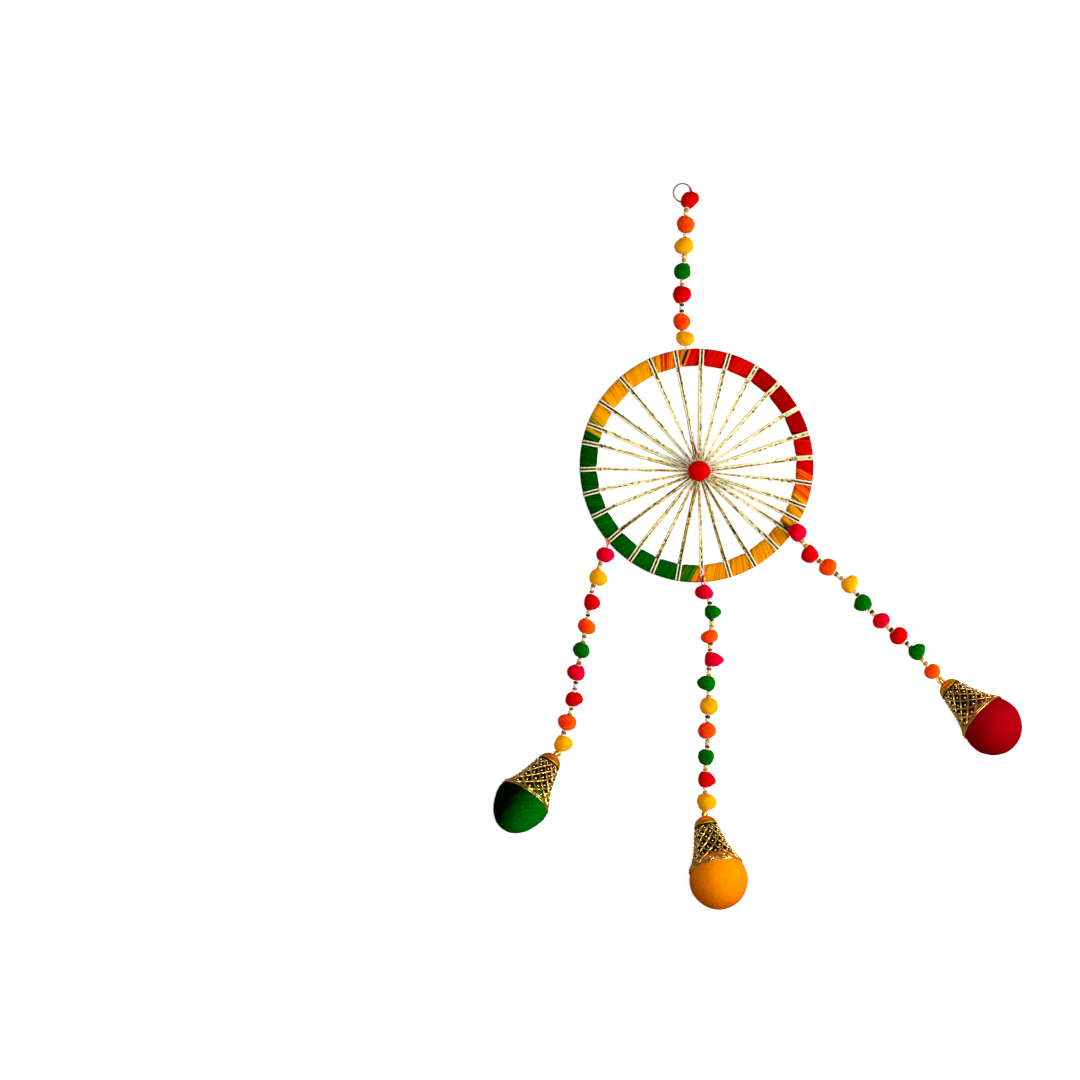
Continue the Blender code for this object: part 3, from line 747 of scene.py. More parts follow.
# The twist of a thread, in radians for each metre
THREAD_TWIST = 900.0
THREAD_LOBES = -0.2
Tie = namedtuple("Tie", "string dye places")
TIES = (
    Tie("top", (222, 170, 160), ((-5.7, 61.9, 5.2), (-5.8, 63.6, 5.0), (-5.7, 65.4, 4.8))),
    Tie("top", (255, 120, 10), ((-3.6, 62.7, 4.9), (-4.5, 60.4, 5.6),
                                (-5.6, 57.4, 5.6), (-6.8, 54.7, 5.0))),
    # The two near-black threads at the top tie are painted shadow beside the orange thread.
    Tie("top", (40, 8, 2), ((-4.7, 62.8, 5.0), (-5.6, 60.4, 5.7), (-6.8, 57.4, 5.7),
                            (-7.9, 54.7, 5.1))),
    Tie("top", (40, 8, 2), ((-5.2, 62.8, 4.9), (-6.0, 60.6, 5.6), (-7.0, 58.0, 5.6),
                            (-7.9, 55.7, 5.1))),
    Tie("left", (236, 120, 40), ((-49.2, -39.4, 5.4), (-48.6, -41.6, 5.0),
                                 (-48.4, -44.4, 4.8))),
    Tie("left", (205, 70, 20), ((-47.8, -40.2, 5.3), (-47.7, -42.0, 5.0),
                                (-48.6, -44.4, 4.4))),
    Tie("middle", (255, 104, 4), ((4.8, -54.4, 4.8), (4.6, -58.0, 5.6),
                                  (3.8, -61.4, 5.2), (4.4, -64.6, 4.6))),
    Tie("middle", (240, 44, 4), ((2.9, -57.2, 5.4), (2.6, -60.4, 5.6),
                                 (2.4, -62.6, 4.9), (3.2, -64.8, 4.4))),
    Tie("middle", (255, 236, 190), ((2.2, -55.4, 5.8), (3.4, -58.2, 6.0),
                                    (2.0, -60.0, 5.6))),
    Tie("middle", (190, 0, 6), ((0.9, 4.2, 6.0), (0.8, 5.7, 5.4), (-0.3, 7.4, 5.2),
                                (-0.8, 9.5, 5.0), (-1.9, 11.7, 4.8), (-3.5, 13.3, 4.6))),
    Tie("right", (70, 30, 14), ((46.6, -31.4, 6.0), (48.4, -33.6, 6.2),
                                (51.4, -36.0, 6.4))),
    Tie("right", (120, 60, 24), ((48.0, -30.8, 5.9), (49.6, -32.8, 6.2),
                                 (52.4, -34.4, 6.4))),
)


def tie_run(tie):
    """A short length of sewing thread that ties a string on."""
    places = curve_through([at(*place) for place in tie.places], TIE_STEP)
    return Run(places, TIE_THICK, THREAD_TWIST, linear(*tie.dye))


print("tying threads", len(TIES))

# %% String the beads
DARK_THREAD = linear(96, 44, 16)
THREAD_THICK = 0.35 * MM
THREAD_STEP = 1.5 * MM

for string, route in routes.items():
    rows = []
    for k in range(len(route) - 2):
        rows += beads_in_gap(string, k, route)
    strung = grow("beads", points_mesh("beads", rows), BEADS, Width=2.8 * MM,
                  Length=1.65 * MM, Hole=0.8 * MM, Finish=SEED_BEADS)
    runs = [Run(curve_through(route, THREAD_STEP), THREAD_THICK, THREAD_TWIST, DARK_THREAD)]
    runs += [tie_run(tie) for tie in TIES if tie.string == string]
    thread = sweep("thread", runs, TWINE, lobes=THREAD_LOBES)
    piece = join("beaded_thread_" + string, [strung, thread])
    print(len(rows), "beads")
    settle(piece, ["thread_" + string])

# %% [markdown]
# ## The wound yarn
#
# The hoop is hidden under some 740 turns of satin yarn that lean about 17 degrees across
# it. Bump on a plain band would look painted at the edges, so a tree sets one turn of
# yarn on each marked point round the hoop. Each turn carries its own dye, which gives the
# streaks. The gold cords press the yarn in, so the turns are drawn in under them last.

# %% Sizes and dyes of the winding
BAND_RADIUS = 58.65 * MM
BAND_HALF_WIDTH = 4.85 * MM
BAND_HALF_HEIGHT = 2.1 * MM
HOOP_MID = 2.89 * MM
YARN_RADIUS = 0.29 * MM
YARN_PITCH = 0.5 * MM
SQUARENESS = 0.8
CORE_INSET = 0.4 * MM
CORE_ENDS = 1.2  # degrees
CORE_POINTS = 1.1  # a degree
PRESSED_INSIDE = 0.9
PRESSED_OUTSIDE = 0.985
PRESSED_HEIGHT = 0.86
PRESS_REACH = 1.3 * MM
PRESS_SLOPE = 0.7 * MM
INSIDE_SLOPE = 2.4 * MM
# Turns between these two distances from a cord's middle are darkened by the share after them:
# painted shadow beside the cords.
SHADE_FROM = 1.2 * MM
SHADE_TO = 1.8 * MM
PAINTED_CORD_SHADOW = 0.25
SHADES = (0.84, 1.06)
CORDS = (2.6, 16.3, 31.2, 45.0, 60.4, 73.9, 86.0, 99.1, 111.1, 118.5, 125.5, 135.8, 149.8,
         163.2, 177.0, 189.6, 202.7, 215.1, 229.4, 243.7, 255.6, 268.0, 281.6, 290.7, 303.4,
         319.1, 335.9, 349.3)

Stretch = namedtuple("Stretch", "end main streak streaks")
WINDINGS = {
    "wrap_red": (-4.7, (
        Stretch(31.0, (212, 0, 0), (230, 14, 0), 0.3),
        Stretch(74.0, (168, 0, 0), (184, 0, 0), 0.3),
        Stretch(93.0, (204, 0, 0), (220, 6, 0), 0.3))),
    "wrap_yellow_right": (93.0, (
        Stretch(106.5, (255, 100, 0), (225, 30, 0), 0.3),
        Stretch(176.0, (248, 160, 0), (222, 128, 0), 0.35),
        Stretch(181.0, (248, 140, 0), (252, 90, 0), 0.4))),
    "wrap_green": (181.0, (
        Stretch(189.6, (60, 112, 0), (0, 94, 0), 0.4),
        Stretch(243.0, (0, 84, 0), (0, 104, 0), 0.3),
        Stretch(287.0, (0, 70, 0), (0, 92, 0), 0.3))),
    "wrap_yellow_left": (287.0, (
        Stretch(296.0, (214, 160, 0), (150, 124, 0), 0.4),
        Stretch(340.0, (255, 168, 0), (232, 134, 0), 0.3),
        Stretch(346.0, (244, 118, 0), (200, 26, 0), 0.5),
        Stretch(355.3, (255, 144, 0), (250, 92, 0), 0.4))),
}

# How far the turns lean, in degrees, read at some clock angles, and how far one strays
SLANT_AT = (-5.0, 15.0, 75.0, 98.0, 118.0, 165.0, 185.0, 205.0, 287.0, 340.0, 356.0)
SLANTS = (22.0, 17.0, 17.0, 28.0, 18.0, 18.0, 28.0, 17.0, 14.0, 16.0, 22.0)
SLANT_STRAYS = (-1.0, 1.0)
print("cords", len(CORDS), "windings", *WINDINGS)


# %% The tree that lays one turn on each point
def make_turns_tree():
    """A tree that lays a squarish loop of yarn on each point, across its axis."""
    tree, given = start_tree("turns", Wide="size", High="size", Yarn="size",
                             Finish="finish")
    place = node(tree, "ShaderNodeSeparateXYZ",
                 {"Vector": node(tree, "GeometryNodeInputPosition")})
    bent = []
    for axis, size in (("X", "Wide"), ("Y", "High")):
        sign = maths(tree, "SIGN", place.outputs[axis])
        plain = maths(tree, "ABSOLUTE", place.outputs[axis])
        full = maths(tree, "MULTIPLY", maths(tree, "POWER", plain, SQUARENESS), sign)
        bent.append(maths(tree, "MULTIPLY", full, given[size]))
    upright = node(tree, "ShaderNodeCombineXYZ", {"X": bent[0], "Z": bent[1]})
    turn = skin(tree, reshaped(tree, circle(tree, points=20), upright),
                circle(tree, points=5, radius=given["Yarn"]))
    laid = set_on_points(tree, given["Geometry"], turn, "X")
    return end_tree(tree, laid, given["Finish"])


TURNS = make_turns_tree()


# %% Draw the yarn in under the cords
def off_cord(angle):
    """How far one clock angle on the band, or each of many, lies from a gold cord."""
    off = [np.abs((angle - cord + 180.0) % 360.0 - 180.0) for cord in CORDS]
    return np.radians(np.min(off, axis=0)) * BAND_RADIUS


def press_in(piece):
    """Draw a winding in towards its middle wherever a gold cord crosses it."""
    mesh = piece.data
    spots = np.empty(len(mesh.vertices) * 3)
    mesh.vertices.foreach_get("co", spots)
    spots = spots.reshape(-1, 3)
    flat = spots[:, :2] - np.array(HOOP_CENTRE[:2])
    radius = np.hypot(flat[:, 0], flat[:, 1])
    nearest = off_cord(np.degrees(np.arctan2(flat[:, 0], flat[:, 1])))
    inside = radius < BAND_RADIUS
    slope = np.where(inside, INSIDE_SLOPE, PRESS_SLOPE)
    press = np.clip(1.0 - (nearest - PRESS_REACH) / slope, 0.0, 1.0)
    press = press * press * (3.0 - 2.0 * press)  # eased at both ends
    shrink = 1.0 - press * (1.0 - np.where(inside, PRESSED_INSIDE, PRESSED_OUTSIDE))
    wanted = BAND_RADIUS + (radius - BAND_RADIUS) * shrink
    spots[:, :2] = flat * (wanted / radius)[:, None] + np.array(HOOP_CENTRE[:2])
    lower = 1.0 - press * (1.0 - PRESSED_HEIGHT)
    spots[:, 2] = HOOP_MID + (spots[:, 2] - HOOP_MID) * lower
    mesh.vertices.foreach_set("co", spots.ravel())
    mesh.update()


# %% Wind the hoop
def blend_dye_and_shade(stretch, angle):
    """A turn's colour: its stretch's own dye or a streak, uneven, and darkened beside a cord as
    painted shadow.
    """
    dye = linear(*(stretch.streak if chance.random() < stretch.streaks else stretch.main))
    shade = chance.uniform(*SHADES)
    # Painted shadow: the turns beside a cord are darkened.
    if SHADE_FROM < off_cord(angle) < SHADE_TO:
        shade *= PAINTED_CORD_SHADOW
    return tuple(min(1.0, part * shade) for part in dye[:3]) + (1.0,)


def winding_rows(start, stretches):
    """Rows for the turns of one winding, evenly spaced from its start to its end."""
    rows = []
    arc = stretches[-1].end - start
    count = round(math.radians(arc) * BAND_RADIUS / YARN_PITCH)
    for k in range(count):
        angle = start + arc * (k + 0.5) / count
        stretch = next(s for s in stretches if angle < s.end)
        slant = float(np.interp(angle, SLANT_AT, SLANTS)) + chance.uniform(*SLANT_STRAYS)
        centre = HOOP_CENTRE + clock(angle) * BAND_RADIUS + raised(HOOP_MID)
        size = 1.0 / math.cos(math.radians(slant))
        rows.append((centre, clock(angle + slant), size, blend_dye_and_shade(stretch, angle)))
    return rows


def band_core(start, end, dye):
    """The yarn beneath the top turns, a plain closed band a little smaller."""
    count = round((end - start) * CORE_POINTS)
    places = []
    for k in range(count + 1):
        angle = start + CORE_ENDS + (end - start - 2 * CORE_ENDS) * k / count
        places.append(HOOP_CENTRE + clock(angle) * BAND_RADIUS + raised(HOOP_MID))
    run = Run(places, BAND_HALF_WIDTH - CORE_INSET, dye=dye)
    flat = (BAND_HALF_HEIGHT - CORE_INSET) / (BAND_HALF_WIDTH - CORE_INSET)
    return sweep("core", [run], YARN, sides=12, flat=flat)


turns = 0
for name, (start, stretches) in WINDINGS.items():
    rows = winding_rows(start, stretches)
    turns += len(rows)
    laid = grow("turns", points_mesh("turns", rows), TURNS,
                Wide=BAND_HALF_WIDTH - YARN_RADIUS, High=BAND_HALF_HEIGHT - YARN_RADIUS,
                Yarn=YARN_RADIUS, Finish=YARN)
    core = band_core(start, stretches[-1].end, linear(*stretches[1].main))
    piece = join(name.replace("wrap", "yarn"), [laid, core])
    press_in(piece)
    settle(piece, [name])
print("turns of yarn", turns)

# %% [markdown]
# ## The gold cord
#
# Twenty-eight loops of metallic cord run from the knot to the hoop, round the winding and
# back beneath. Each loop is two pale strands with a darker one sunk between them, and
# each strand is a three-ply twist. The dark colour of the middle strand is painted dark
# reflection and shade. The foil on it catches the light in stretches, cream, gold and
# dark by turns, and these highlights and dark reflections are painted into the colour,
# which changes along the path. The path follows a simple rule, so it is worked out in
# code, and the sweep tree gives it a section with lobes that turns as it goes.

# %% The path of one strand
KNOT = at(1.2, -3.1)
STRAND_RADIUS = 0.47 * MM
CORE_RADIUS = 0.58 * MM
APART_ON_BAND = 0.88 * MM
APART_ON_SPOKE = 0.56 * MM
LOOP_WIDE = 4.7 * MM
LOOP_HIGH = 2.25 * MM
CORE_SUNK = 0.25 * MM
KNOT_INNER = 3.0 * MM
KNOT_EDGE = 9.5 * MM
APART_IN_KNOT = 0.3 * MM
APART_BY_KNOT = 0.35 * MM
APART_BENEATH = 0.4 * MM
EDGE_REACH = 1.5
EDGE_APART = 0.85
EDGE_HEIGHT = 0.78
LAYERS = 3
TOP_LAYER = 4.5 * MM
TOP_STEP = 0.55 * MM
LOW_LAYER = 0.7 * MM
LOW_STEP = 0.5 * MM
SWAY = 0.8 * MM
ROUND_THE_BAND = range(125, -126, -25)
PLY_TWIST = 2 * math.pi / (3.2 * MM)


def squarish(share):
    """A sine or cosine, pushed out towards the corners of a square."""
    return math.copysign(abs(share) ** SQUARENESS, share)


def strand_places(cord, side, k):
    """Out from the knot over the hoop's edge, round the winding and back beneath."""
    out = clock(cord)
    band = HOOP_CENTRE + out * BAND_RADIUS
    toward = (band - KNOT).normalized()
    beside = Vector((toward.y, -toward.x, 0))
    sway = chance.uniform(-SWAY, SWAY)
    top = TOP_LAYER - TOP_STEP * (k % LAYERS)
    low = LOW_LAYER + LOW_STEP * (k % LAYERS)
    sunk = 0.0 if side else CORE_SUNK
    apart = Vector((out.y, -out.x, 0)) * side * APART_ON_BAND
    inner = band - out * (LOOP_WIDE * EDGE_REACH) + apart * EDGE_APART
    over_edge = inner + raised(HOOP_MID + LOOP_HIGH * EDGE_HEIGHT - sunk)
    under_edge = inner + raised(HOOP_MID - LOOP_HIGH * EDGE_HEIGHT + sunk)
    in_knot, by_knot = KNOT + toward * KNOT_INNER, KNOT + toward * KNOT_EDGE
    halfway = (by_knot + band) / 2 + beside * side * APART_ON_SPOKE
    halfway.z = (top + over_edge.z) / 2 - sunk
    turn = []
    for degrees in ROUND_THE_BAND:
        lean = math.radians(degrees)
        x = (LOOP_WIDE - sunk) * squarish(math.cos(lean))
        z = (LOOP_HIGH - sunk) * squarish(math.sin(lean))
        turn.append(band + out * x + apart + raised(HOOP_MID + z))
    return [in_knot + beside * side * APART_IN_KNOT + raised(top),
            by_knot + beside * side * APART_BY_KNOT + raised(top),
            halfway, over_edge, *turn, under_edge,
            by_knot + beside * (side * APART_BENEATH + sway) + raised(low),
            in_knot + beside * sway + raised(low)]


# %% Foil that shines in stretches
# Foil colours: cream and pale are painted highlights, brown and dark are painted dark
# reflections and shade, and gold is near the foil's own colour.
CREAM_FOIL = linear(255, 250, 205)
PALE_FOIL = linear(248, 226, 140)
GOLD_FOIL = linear(196, 146, 48)
BROWN_FOIL = linear(124, 84, 26)
DARK_FOIL = linear(40, 20, 2)
# Near the knot and beside the winding the middle strand is painted darker: painted shade.
NEAR_KNOT = 26 * MM
ON_BAND = 2.2 * BAND_HALF_WIDTH
BESIDE_BAND = ON_BAND + 14 * MM
# Cords whose strands are painted darker, as painted dark reflection. The cords between LIT_FROM
# and LIT_TO keep a pale middle strand, as painted highlight.
DARK_SIDED = (86.0, 149.8, 163.2, 189.6, 229.4)
DARK_LINED = (303.4, 319.1, 349.3)
LIT_FROM, LIT_TO = 25, 95
GOLDEN_FROM, GOLDEN_TO = 150, 290


def foil_choice(cord, to_knot, to_band, side):
    """One stretch's colour: painted highlight, dark reflection and shade on the foil. The
    middle strand is painted dark on the winding and near the knot, as painted shade, but
    pale for the cords that face the light, as painted highlight. The outer two are pale, and
    golden near the knot at the lower left. A few loops are painted with a dark outer strand
    or a dark middle line, as painted dark reflection."""
    near, on_band, dark = to_knot < NEAR_KNOT, to_band < ON_BAND, cord in DARK_SIDED
    if side and on_band:
        choices = (CREAM_FOIL,)
    elif side == 0 and LIT_FROM < cord < LIT_TO:
        choices = (CREAM_FOIL, PALE_FOIL, PALE_FOIL, BROWN_FOIL)
    elif side == 0 and (dark or cord in DARK_LINED or on_band):
        choices = (DARK_FOIL, DARK_FOIL, DARK_FOIL, BROWN_FOIL)
    elif side == 0 and (near or to_band < BESIDE_BAND):
        choices = (DARK_FOIL, DARK_FOIL, BROWN_FOIL, GOLD_FOIL, PALE_FOIL)
    elif side == 0:
        choices = (DARK_FOIL, GOLD_FOIL, GOLD_FOIL, PALE_FOIL, PALE_FOIL)
    elif side > 0 and dark:
        choices = (DARK_FOIL, GOLD_FOIL, GOLD_FOIL, PALE_FOIL)
    elif near and GOLDEN_FROM < cord < GOLDEN_TO:
        choices = (GOLD_FOIL, GOLD_FOIL, PALE_FOIL, PALE_FOIL, CREAM_FOIL)
    elif side > 0:
        choices = (CREAM_FOIL, CREAM_FOIL, CREAM_FOIL, PALE_FOIL, PALE_FOIL, BROWN_FOIL)
    else:
        choices = (CREAM_FOIL, CREAM_FOIL, CREAM_FOIL, PALE_FOIL)
    return chance.choice(choices)


# %% Blend the foil along a strand
SHORT_STRETCH = 0.3 * MM
LONG_STRETCH = 1.2 * MM
FOIL_BLEND = 0.25 * MM


def foil_along(lengths, cord, side):
    """A colour for each point of a strand, painted highlight, reflection and shade, blended
    from stretch to stretch.
    """
    total = lengths[-1]
    spots, colours, place = [], [], 0.0
    while place < total:
        colour = foil_choice(cord, min(place, total - place), abs(place - total / 2), side)
        spots += [place, place + chance.uniform(SHORT_STRETCH, LONG_STRETCH)]
        colours += [colour, colour]
        place = spots[-1] + FOIL_BLEND
    channels = [np.interp(lengths, spots, [colour[n] for colour in colours]) for n in range(4)]
    return [tuple(channel[k] for channel in channels) for k in range(len(lengths))]


# %% Lace the hoop
STRAND_STEP = 0.6 * MM
THIN_AT_KNOT = 0.62
PLY_LOBES = -0.3


def strand_run(cord, side, k):
    """One strand of a loop, thinner towards the knot, where it is pulled tight."""
    path = curve_through(strand_places(cord, side, k), STRAND_STEP)
    lengths = lengths_along(path)
    size = STRAND_RADIUS if side else CORE_RADIUS
    thick = []
    for length in lengths:
        to_knot = min(length, lengths[-1] - length)
        share = min(1.0, to_knot / NEAR_KNOT)
        thick.append(size * (THIN_AT_KNOT + (1 - THIN_AT_KNOT) * share))
    twist = PLY_TWIST if side > 0 else -PLY_TWIST
    return Run(path, thick, twist, foil_along(lengths, cord, side))


for side, label in ((-1, "first"), (1, "second"), (0, "between")):
    runs = [strand_run(cord, side, k) for k, cord in enumerate(CORDS)]
    piece = sweep("gold_cord_" + label, runs, GOLD_CORD, lobes=PLY_LOBES)
    settle(piece, ["spokes_gold"])
    print("cord, m", round(sum(lengths_along(run.places)[-1] for run in runs), 2))

# %% [markdown]
# ## Bells
#
# Each bell is a stamped gilt cap over a velvet ball. The cap is turned about an axis that
# dips towards its crown as it lies, so every part of it is made upright on that axis
# first and then laid down by one matrix. Crossing bars could be cut from a cone with a
# Boolean, but bars swept along the surface keep their rounded edges.

# %% Where each bell lies
Bell = namedtuple("Bell", "x y heading liner_foot")
BELLS = {
    "left": Bell(-93.1, -179.9, 54.8, 8.8),
    "middle": Bell(10.1, -217.5, 103.0, 6.0),
    "right": Bell(154.6, -136.5, 138.5, 6.0),
}
BELL_SIDES = 20
CAP_HEIGHTS = (0.0, 1.3, 3.1, 7.2, 10.5, 15.2, 20.9, 24.2)
CAP_RADII = (15.0, 14.4, 13.0, 11.0, 9.8, 8.5, 7.2, 5.8)
LIP_HEIGHT = 24.2
LIP_RADIUS = 6.5


def cap_radius(height):
    """The cap's radius at a height above its rim, in millimetres."""
    return float(np.interp(height, CAP_HEIGHTS, CAP_RADII))


def round_spot(radius, turn, height):
    """A place on a level circle round the bell's axis, in metres."""
    return Vector((radius * math.cos(turn), radius * math.sin(turn), height)) * MM


def bell_matrix(bell):
    """Where a bell lies: on its rim and the lip of its crown."""
    flat_side = math.cos(math.pi / BELL_SIDES)
    dip = math.atan2((CAP_RADII[0] - LIP_RADIUS) * flat_side, LIP_HEIGHT)
    heading = math.radians(bell.heading)
    ahead = Vector((math.cos(heading), math.sin(heading), 0))
    axis = ahead * math.cos(dip) - raised(math.sin(dip))
    side = Vector((ahead.y, -ahead.x, 0))
    down = axis.cross(side)
    rim = at(bell.x, bell.y)
    rim.z = CAP_RADII[0] * flat_side * math.cos(dip) * MM
    matrix = Matrix((side, down, axis)).transposed().to_4x4()
    matrix.translation = rim
    return matrix


def round_cap(turn, height, proud=0.0):
    """A place on the cap, by turns of its columns, height and how far it stands out."""
    angle = 2 * math.pi * (turn + 0.5) / BELL_SIDES
    return round_spot(cap_radius(height) + proud, angle, height)


CROWN_TIP = raised(29.5 * MM)
tips = {name: bell_matrix(bell) @ CROWN_TIP for name, bell in BELLS.items()}
print("crown tips, mm over the table", [round(tip.z / MM, 1) for tip in tips.values()])

# %% The openwork of a cap
ROWS = (1.3, 4.5, 7.6, 10.7, 13.8, 16.9, 19.8, 22.4, 24.0)
DROP_SHAPE = 0.6
BAR_PARTS = 5
BAR_SHARE = 0.066
BAR_SUNK = 0.35
GRANULE_SUNK = 0.1
GRANULE_DOWN = 0.36
GRANULE_SMALLEST = 0.6
RING_POINTS = 3


def lattice_runs():
    """The bars that cross over the cap, ten leaning each way.

    Each bar starts sideways from a crossing and then rises, which makes every opening
    a drop: round towards the mouth and pointed towards the crown.
    """
    steps = [(row, part / BAR_PARTS) for row in range(len(ROWS) - 1)
             for part in range(BAR_PARTS)]
    steps.append((len(ROWS) - 2, 1.0))
    heights = [ROWS[row] + (ROWS[row + 1] - ROWS[row]) * share for row, share in steps]
    thick = [BAR_SHARE * cap_radius(height) * MM for height in heights]
    runs = []
    for column in range(0, BELL_SIDES, 2):
        for lean in (-1, 1):
            places = [round_cap(column + lean * (row + share ** DROP_SHAPE), height, -BAR_SUNK)
                      for (row, share), height in zip(steps, heights)]
            runs.append(Run(places, thick))
    return runs


def ring_run(height, proud, thick):
    """A ring round the cap."""
    places = [round_cap(k / RING_POINTS, height, proud)
              for k in range(RING_POINTS * BELL_SIDES)]
    return Run(places, thick * MM, closed=True)


def granule_rows():
    """One granule in each opening, at its end towards the mouth."""
    rows = []
    for row in range(1, len(ROWS) - 1):
        share = cap_radius(ROWS[row]) / CAP_RADII[0]
        size = GRANULE_SMALLEST + (1 - GRANULE_SMALLEST) * share
        height = ROWS[row] - GRANULE_DOWN * (ROWS[row] - ROWS[row - 1])
        for column in range(BELL_SIDES):
            if (column + row) % 2:
                place = round_cap(column, height, -GRANULE_SUNK)
                rows.append((place, (0, 0, 1), size, CREAM))
    return rows


print("bars", len(lattice_runs()), "granules", len(granule_rows()))

# %% Turned forms
NO_EDGE = 0.005 * MM


def lathe(name, profile, sides, material):
    """A closed turned form from a loop of heights and radii, in millimetres."""
    form = bmesh.new()
    rings = [[form.verts.new(round_spot(radius, 2 * math.pi * k / sides, height))
              for k in range(sides)] for height, radius in profile]
    for first, second in zip(rings, rings[1:] + rings[:1]):
        for k in range(sides):
            after = (k + 1) % sides
            form.faces.new((first[k], first[after], second[after], second[k]))
    bmesh.ops.remove_doubles(form, verts=form.verts, dist=SAME_PLACE)
    bmesh.ops.dissolve_degenerate(form, edges=form.edges, dist=NO_EDGE)
    bmesh.ops.recalc_face_normals(form, faces=form.faces)
    mesh = bpy.data.meshes.new(name)
    form.to_mesh(mesh)
    form.free()
    mesh.shade_smooth()
    mesh.materials.append(material)
    return new_object(name, mesh)


CROWN = ((24.0, 5.2), (23.9, 6.2), (24.2, 6.5), (24.7, 6.35), (25.1, 6.1), (26.2, 5.75),
         (27.4, 5.05), (28.4, 3.9), (29.05, 2.6), (29.4, 1.2), (29.5, 0.0), (28.6, 0.0),
         (27.5, 2.6), (26.1, 4.4))
# A near-black sheet inside each cap, where there is only shade: painted shade.
SHADE_SHEET_HEIGHTS = (7.2, 10.5, 15.2, 20.9, 23.8)
SHADE_SHEET_IN = 1.7
SHADE_SHEET_WALL = 0.3
SHADE_SHEET_STEP = 1.0
CROWN_SIDES = 48
SHADE_SHEET_SIDES = 40


def shade_sheet_profile(foot):
    """A near-black sheet inside the cap, painted shade, as a loop of heights and radii, from a
    foot upwards.
    """
    heights = [foot, *[height for height in SHADE_SHEET_HEIGHTS if height > foot + SHADE_SHEET_STEP]]
    outer = [(height, cap_radius(height) - SHADE_SHEET_IN) for height in heights]
    inner = [(height, radius - SHADE_SHEET_WALL) for height, radius in reversed(outer)]
    return outer + inner


# %% Make the caps
# Rings round the cap: height, how far out and radius, in millimetres
RIM_RINGS = ((0.35, -0.3, 0.42), (1.4, -0.35, 0.42))
# The dark rings are painted shadow: one in the groove between the rim rings and one under the
# crown's lip.
SHADOW_RINGS = ((0.88, -0.35, 0.26), (23.6, 0.1, 0.42))


def make_cap(name, bell):
    """One cap, made upright on its axis and laid down where the bell lies."""
    bars = sweep("bars", lattice_runs(), GILT, flat=0.8)
    rim = sweep("rim", [ring_run(*ring) for ring in RIM_RINGS], GILT_RIM, sides=8)
    # Dark rings of painted shadow.
    seam = sweep("seam", [ring_run(*ring) for ring in SHADOW_RINGS], CAP_SHADE)
    pearls = grow("granules", points_mesh("granules", granule_rows()), BEADS,
                  Width=1.5 * MM, Length=1.4 * MM, Hole=0.0, Finish=PEARL)
    crown = lathe("crown", CROWN, CROWN_SIDES, GILT_PLAIN)
    # The dark sheet inside the cap is painted shade.
    liner = lathe("liner", shade_sheet_profile(bell.liner_foot), SHADE_SHEET_SIDES, CAP_SHADE)
    cap = join("gilt_cap_" + name, [bars, rim, seam, pearls, crown, liner])
    cap.data.transform(bell_matrix(bell))
    return settle(cap, ["bell_cap_" + name])


for name, bell in BELLS.items():
    make_cap(name, bell)

# %% [markdown]
# ### Velvet balls
#
# The pile of velvet is far shorter than felt's fibres and leans less. The fibre tree
# takes finer sizes for it, on a copy of each ball's solid.

# %% Grow the velvet
for name, velvet in VELVETS.items():
    solid = "bell_ball_" + name
    ball = grow("velvet_ball_" + name, solid_copy("velvet", [solid]), FIBRES, Levels=2,
                Swell=0.8 * MM, Grain=90.0, Lumps=0.15 * MM, Density=3.0e6,
                Length=0.35 * MM, Width=0.04 * MM, Lean=0.6, Seed=3, Finish=velvet)
    settle(ball, [solid])

# %% [markdown]
# ## Links and the hanging ring
#
# Small wire fittings: an oval link joins each thread to its bell, and a ring of springy
# wire, lapped double on one side, takes the nail in the wall.

# %% Make the links
LINK_WIRE = 0.5 * MM
LINK_WIDTH = 2.6 * MM
CONE_SHARES = (0.1, 0.3, 0.6, 0.95)
CONE_SIZES = (0.5, 0.85, 1.15, 1.2)
WOUND_HEIGHT = 26.8
WOUND_RADIUS = 5.5
WOUND_RISE = 0.5
WOUND_NARROWER = 0.35
WOUND_THICK = 0.42 * MM
WOUND_ARC = range(-110, -69, 8)
WOUND_DYES = ((236, 112, 6), (234, 72, 0), (214, 40, 0))


def oval_places(centre, along, side, length, width, count=28):
    """Places round an oval of a length and a width."""
    turns = [2 * math.pi * k / count for k in range(count)]
    return [centre + along * math.cos(turn) * length / 2 + side * math.sin(turn) * width / 2
            for turn in turns]


def wound_runs(matrix):
    """Three arcs of orange thread, wound over the top of a crown."""
    runs = []
    for n, dye in enumerate(WOUND_DYES):
        height, radius = WOUND_HEIGHT + WOUND_RISE * n, WOUND_RADIUS - WOUND_NARROWER * n
        arc = [matrix @ round_spot(radius, math.radians(degrees), height)
               for degrees in WOUND_ARC]
        runs.append(Run(arc, WOUND_THICK, THREAD_TWIST, linear(*dye)))
    return runs


for name, bell in BELLS.items():
    tip, end = tips[name], routes[name][-1]
    along = (end - tip).normalized()
    side = Vector((-along.y, along.x, 0)).normalized()
    length = (end - tip).length + LINK_WIRE
    oval = Run(oval_places((tip + end) / 2, along, side, length, LINK_WIDTH), LINK_WIRE,
               closed=True)
    filling = Run([end.lerp(tip, share) for share in CONE_SHARES],
                  [size * MM for size in CONE_SIZES])
    wire = sweep("wire", [oval], GILT, sides=8)
    cone = sweep("cone", [filling], GILT_RIM, sides=10)
    tie = sweep("tie", wound_runs(bell_matrix(bell)), TWINE, lobes=THREAD_LOBES)
    settle(join("link_" + name, [wire, cone, tie]), ["bell_link_" + name])

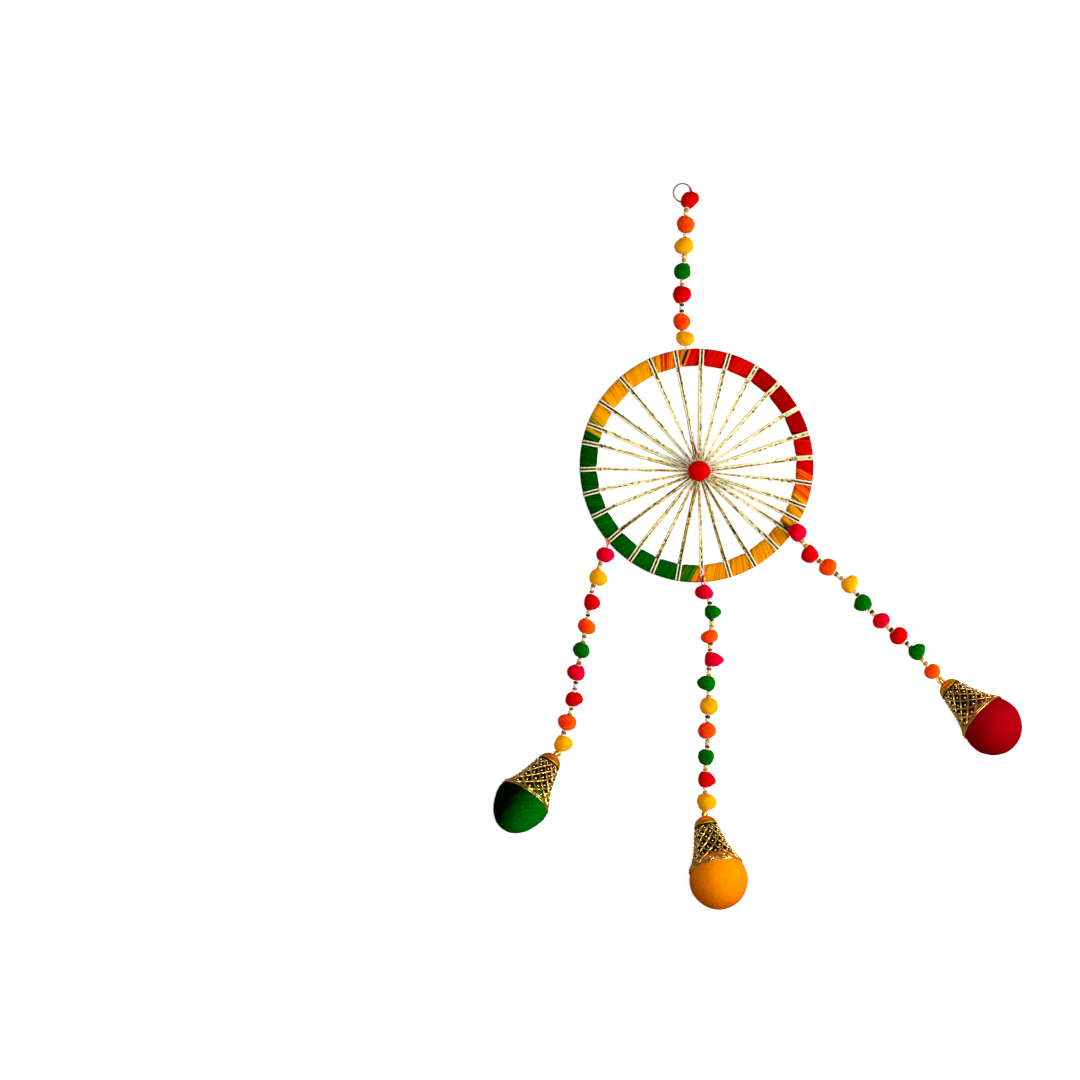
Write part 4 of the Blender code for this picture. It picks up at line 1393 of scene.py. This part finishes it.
# %% Make the hanging ring
RING = at(-7.5, 148.0, 0.4)
RING_ACROSS = 10.0 * MM
RING_WIRE = 0.46 * MM
LAP_WIRE = 0.42 * MM
LAP_RAISED = 0.15 * MM
LAP_PULLED_IN = 0.75 * MM
LAP_START = -62
LAP_STEP = 6
LAP_STEPS = 20

eye = oval_places(RING, Vector((1, 0, 0)), Vector((0, 1, 0)), RING_ACROSS, RING_ACROSS, 48)
lap = []
for k in range(LAP_STEPS + 1):
    turn = math.radians(LAP_START + LAP_STEP * k)
    reach = RING_ACROSS / 2 - LAP_PULLED_IN * math.sin(math.pi * k / LAP_STEPS)
    lap.append(RING + Vector((math.cos(turn), math.sin(turn), 0)) * reach
               + raised(LAP_RAISED))
runs = [Run(eye, RING_WIRE, closed=True), Run(lap, LAP_WIRE)]
settle(sweep("wire_ring", runs, WIRE, sides=8), ["ring_hanging"])

# %% [markdown]
# ## The table, the light and the camera
#
# Small goods are often photographed on a lit white panel, which keeps the ground white
# and its shadows faint. Here the panel glows for the camera alone, so it doesn't light
# the undersides. The key light is a wide soft one from the right, and a weaker one
# hangs overhead. The surroundings shine on metal only faintly, which keeps the gilt
# bright and dark by turns. The camera looks straight down through a long lens.

# %% The table
PANEL_GLOW = 0.62
PANEL_GREY = 0.36
TABLE_HALF = 2
TABLE_DROP = 0.1 * MM

corners = [(x * TABLE_HALF, y * TABLE_HALF, 0) for x, y in ((-1, -1), (1, -1), (1, 1), (-1, 1))]
table_mesh = bpy.data.meshes.new("table_top")
table_mesh.from_pydata(corners, [], [(0, 1, 2, 3)])
table = new_object("table_top", table_mesh)
table.location.z = -TABLE_DROP
paper = start_finish("pale_table", Roughness=0.9, Specular_IOR_Level=0.0,
                     Emission_Color=(1, 1, 1, 1))
pale = mottle(paper, 3.0, (0.93, 0.93, 0.935, 1), (0.95, 0.95, 0.955, 1))
seen = node(paper.tree, "ShaderNodeLightPath").outputs["Is Camera Ray"]
lit = blended(paper.tree, seen, grey(PANEL_GREY), pale)
feed(paper, "Base Color", lit)
feed(paper, "Emission Strength", maths(paper.tree, "MULTIPLY", seen, PANEL_GLOW).outputs[0])
table_mesh.materials.append(paper.material)
print("table, mm under the hanging", TABLE_DROP / MM)


# %% The light
def soft_light(name, place, size, power):
    """A square lamp that shines at the middle of the hanging."""
    lamp = bpy.data.lights.new(name, "AREA")
    lamp.shape = "SQUARE"
    lamp.size = size
    lamp.energy = power
    holder = new_object(name, lamp)
    holder.location = place
    holder.rotation_euler = (-Vector(place)).to_track_quat("-Z", "Y").to_euler()


soft_light("window_side", (1.2, -0.15, 0.8), size=0.6, power=20.0)
soft_light("overhead", (0.15, 0.15, 1.5), size=0.7, power=11.0)

# %% The sky
SKY = 0.34
SKY_ON_METAL = 0.12
world = bpy.data.worlds.new("studio")
bpy.context.scene.world = world
world.use_nodes = True
background = world.node_tree.nodes["Background"]
background.inputs["Color"].default_value = (1, 1, 1, 1)
shine = node(world.node_tree, "ShaderNodeLightPath").outputs["Is Glossy Ray"]
strength = node(world.node_tree, "ShaderNodeMapRange",
                {"Value": shine, "To Min": SKY, "To Max": SKY_ON_METAL})
world.node_tree.links.new(strength.outputs["Result"], background.inputs["Strength"])
bpy.context.scene.view_settings.view_transform = "Standard"
print("sky", SKY, "as metal mirrors it", SKY_ON_METAL)

# %% The camera
VIEW_WIDTH = 586.1 * MM
VIEW_MIDDLE = at(-84.9, -40.4)

camera = new_object("camera", bpy.data.cameras.new("camera"))
camera.data.lens = 200.0
camera.data.sensor_width = 36.0
height = VIEW_WIDTH * camera.data.lens / camera.data.sensor_width
camera.location = VIEW_MIDDLE + raised(height)
camera.data.clip_end = 20.0
bpy.context.scene.camera = camera
print("camera height, m", round(height, 2))
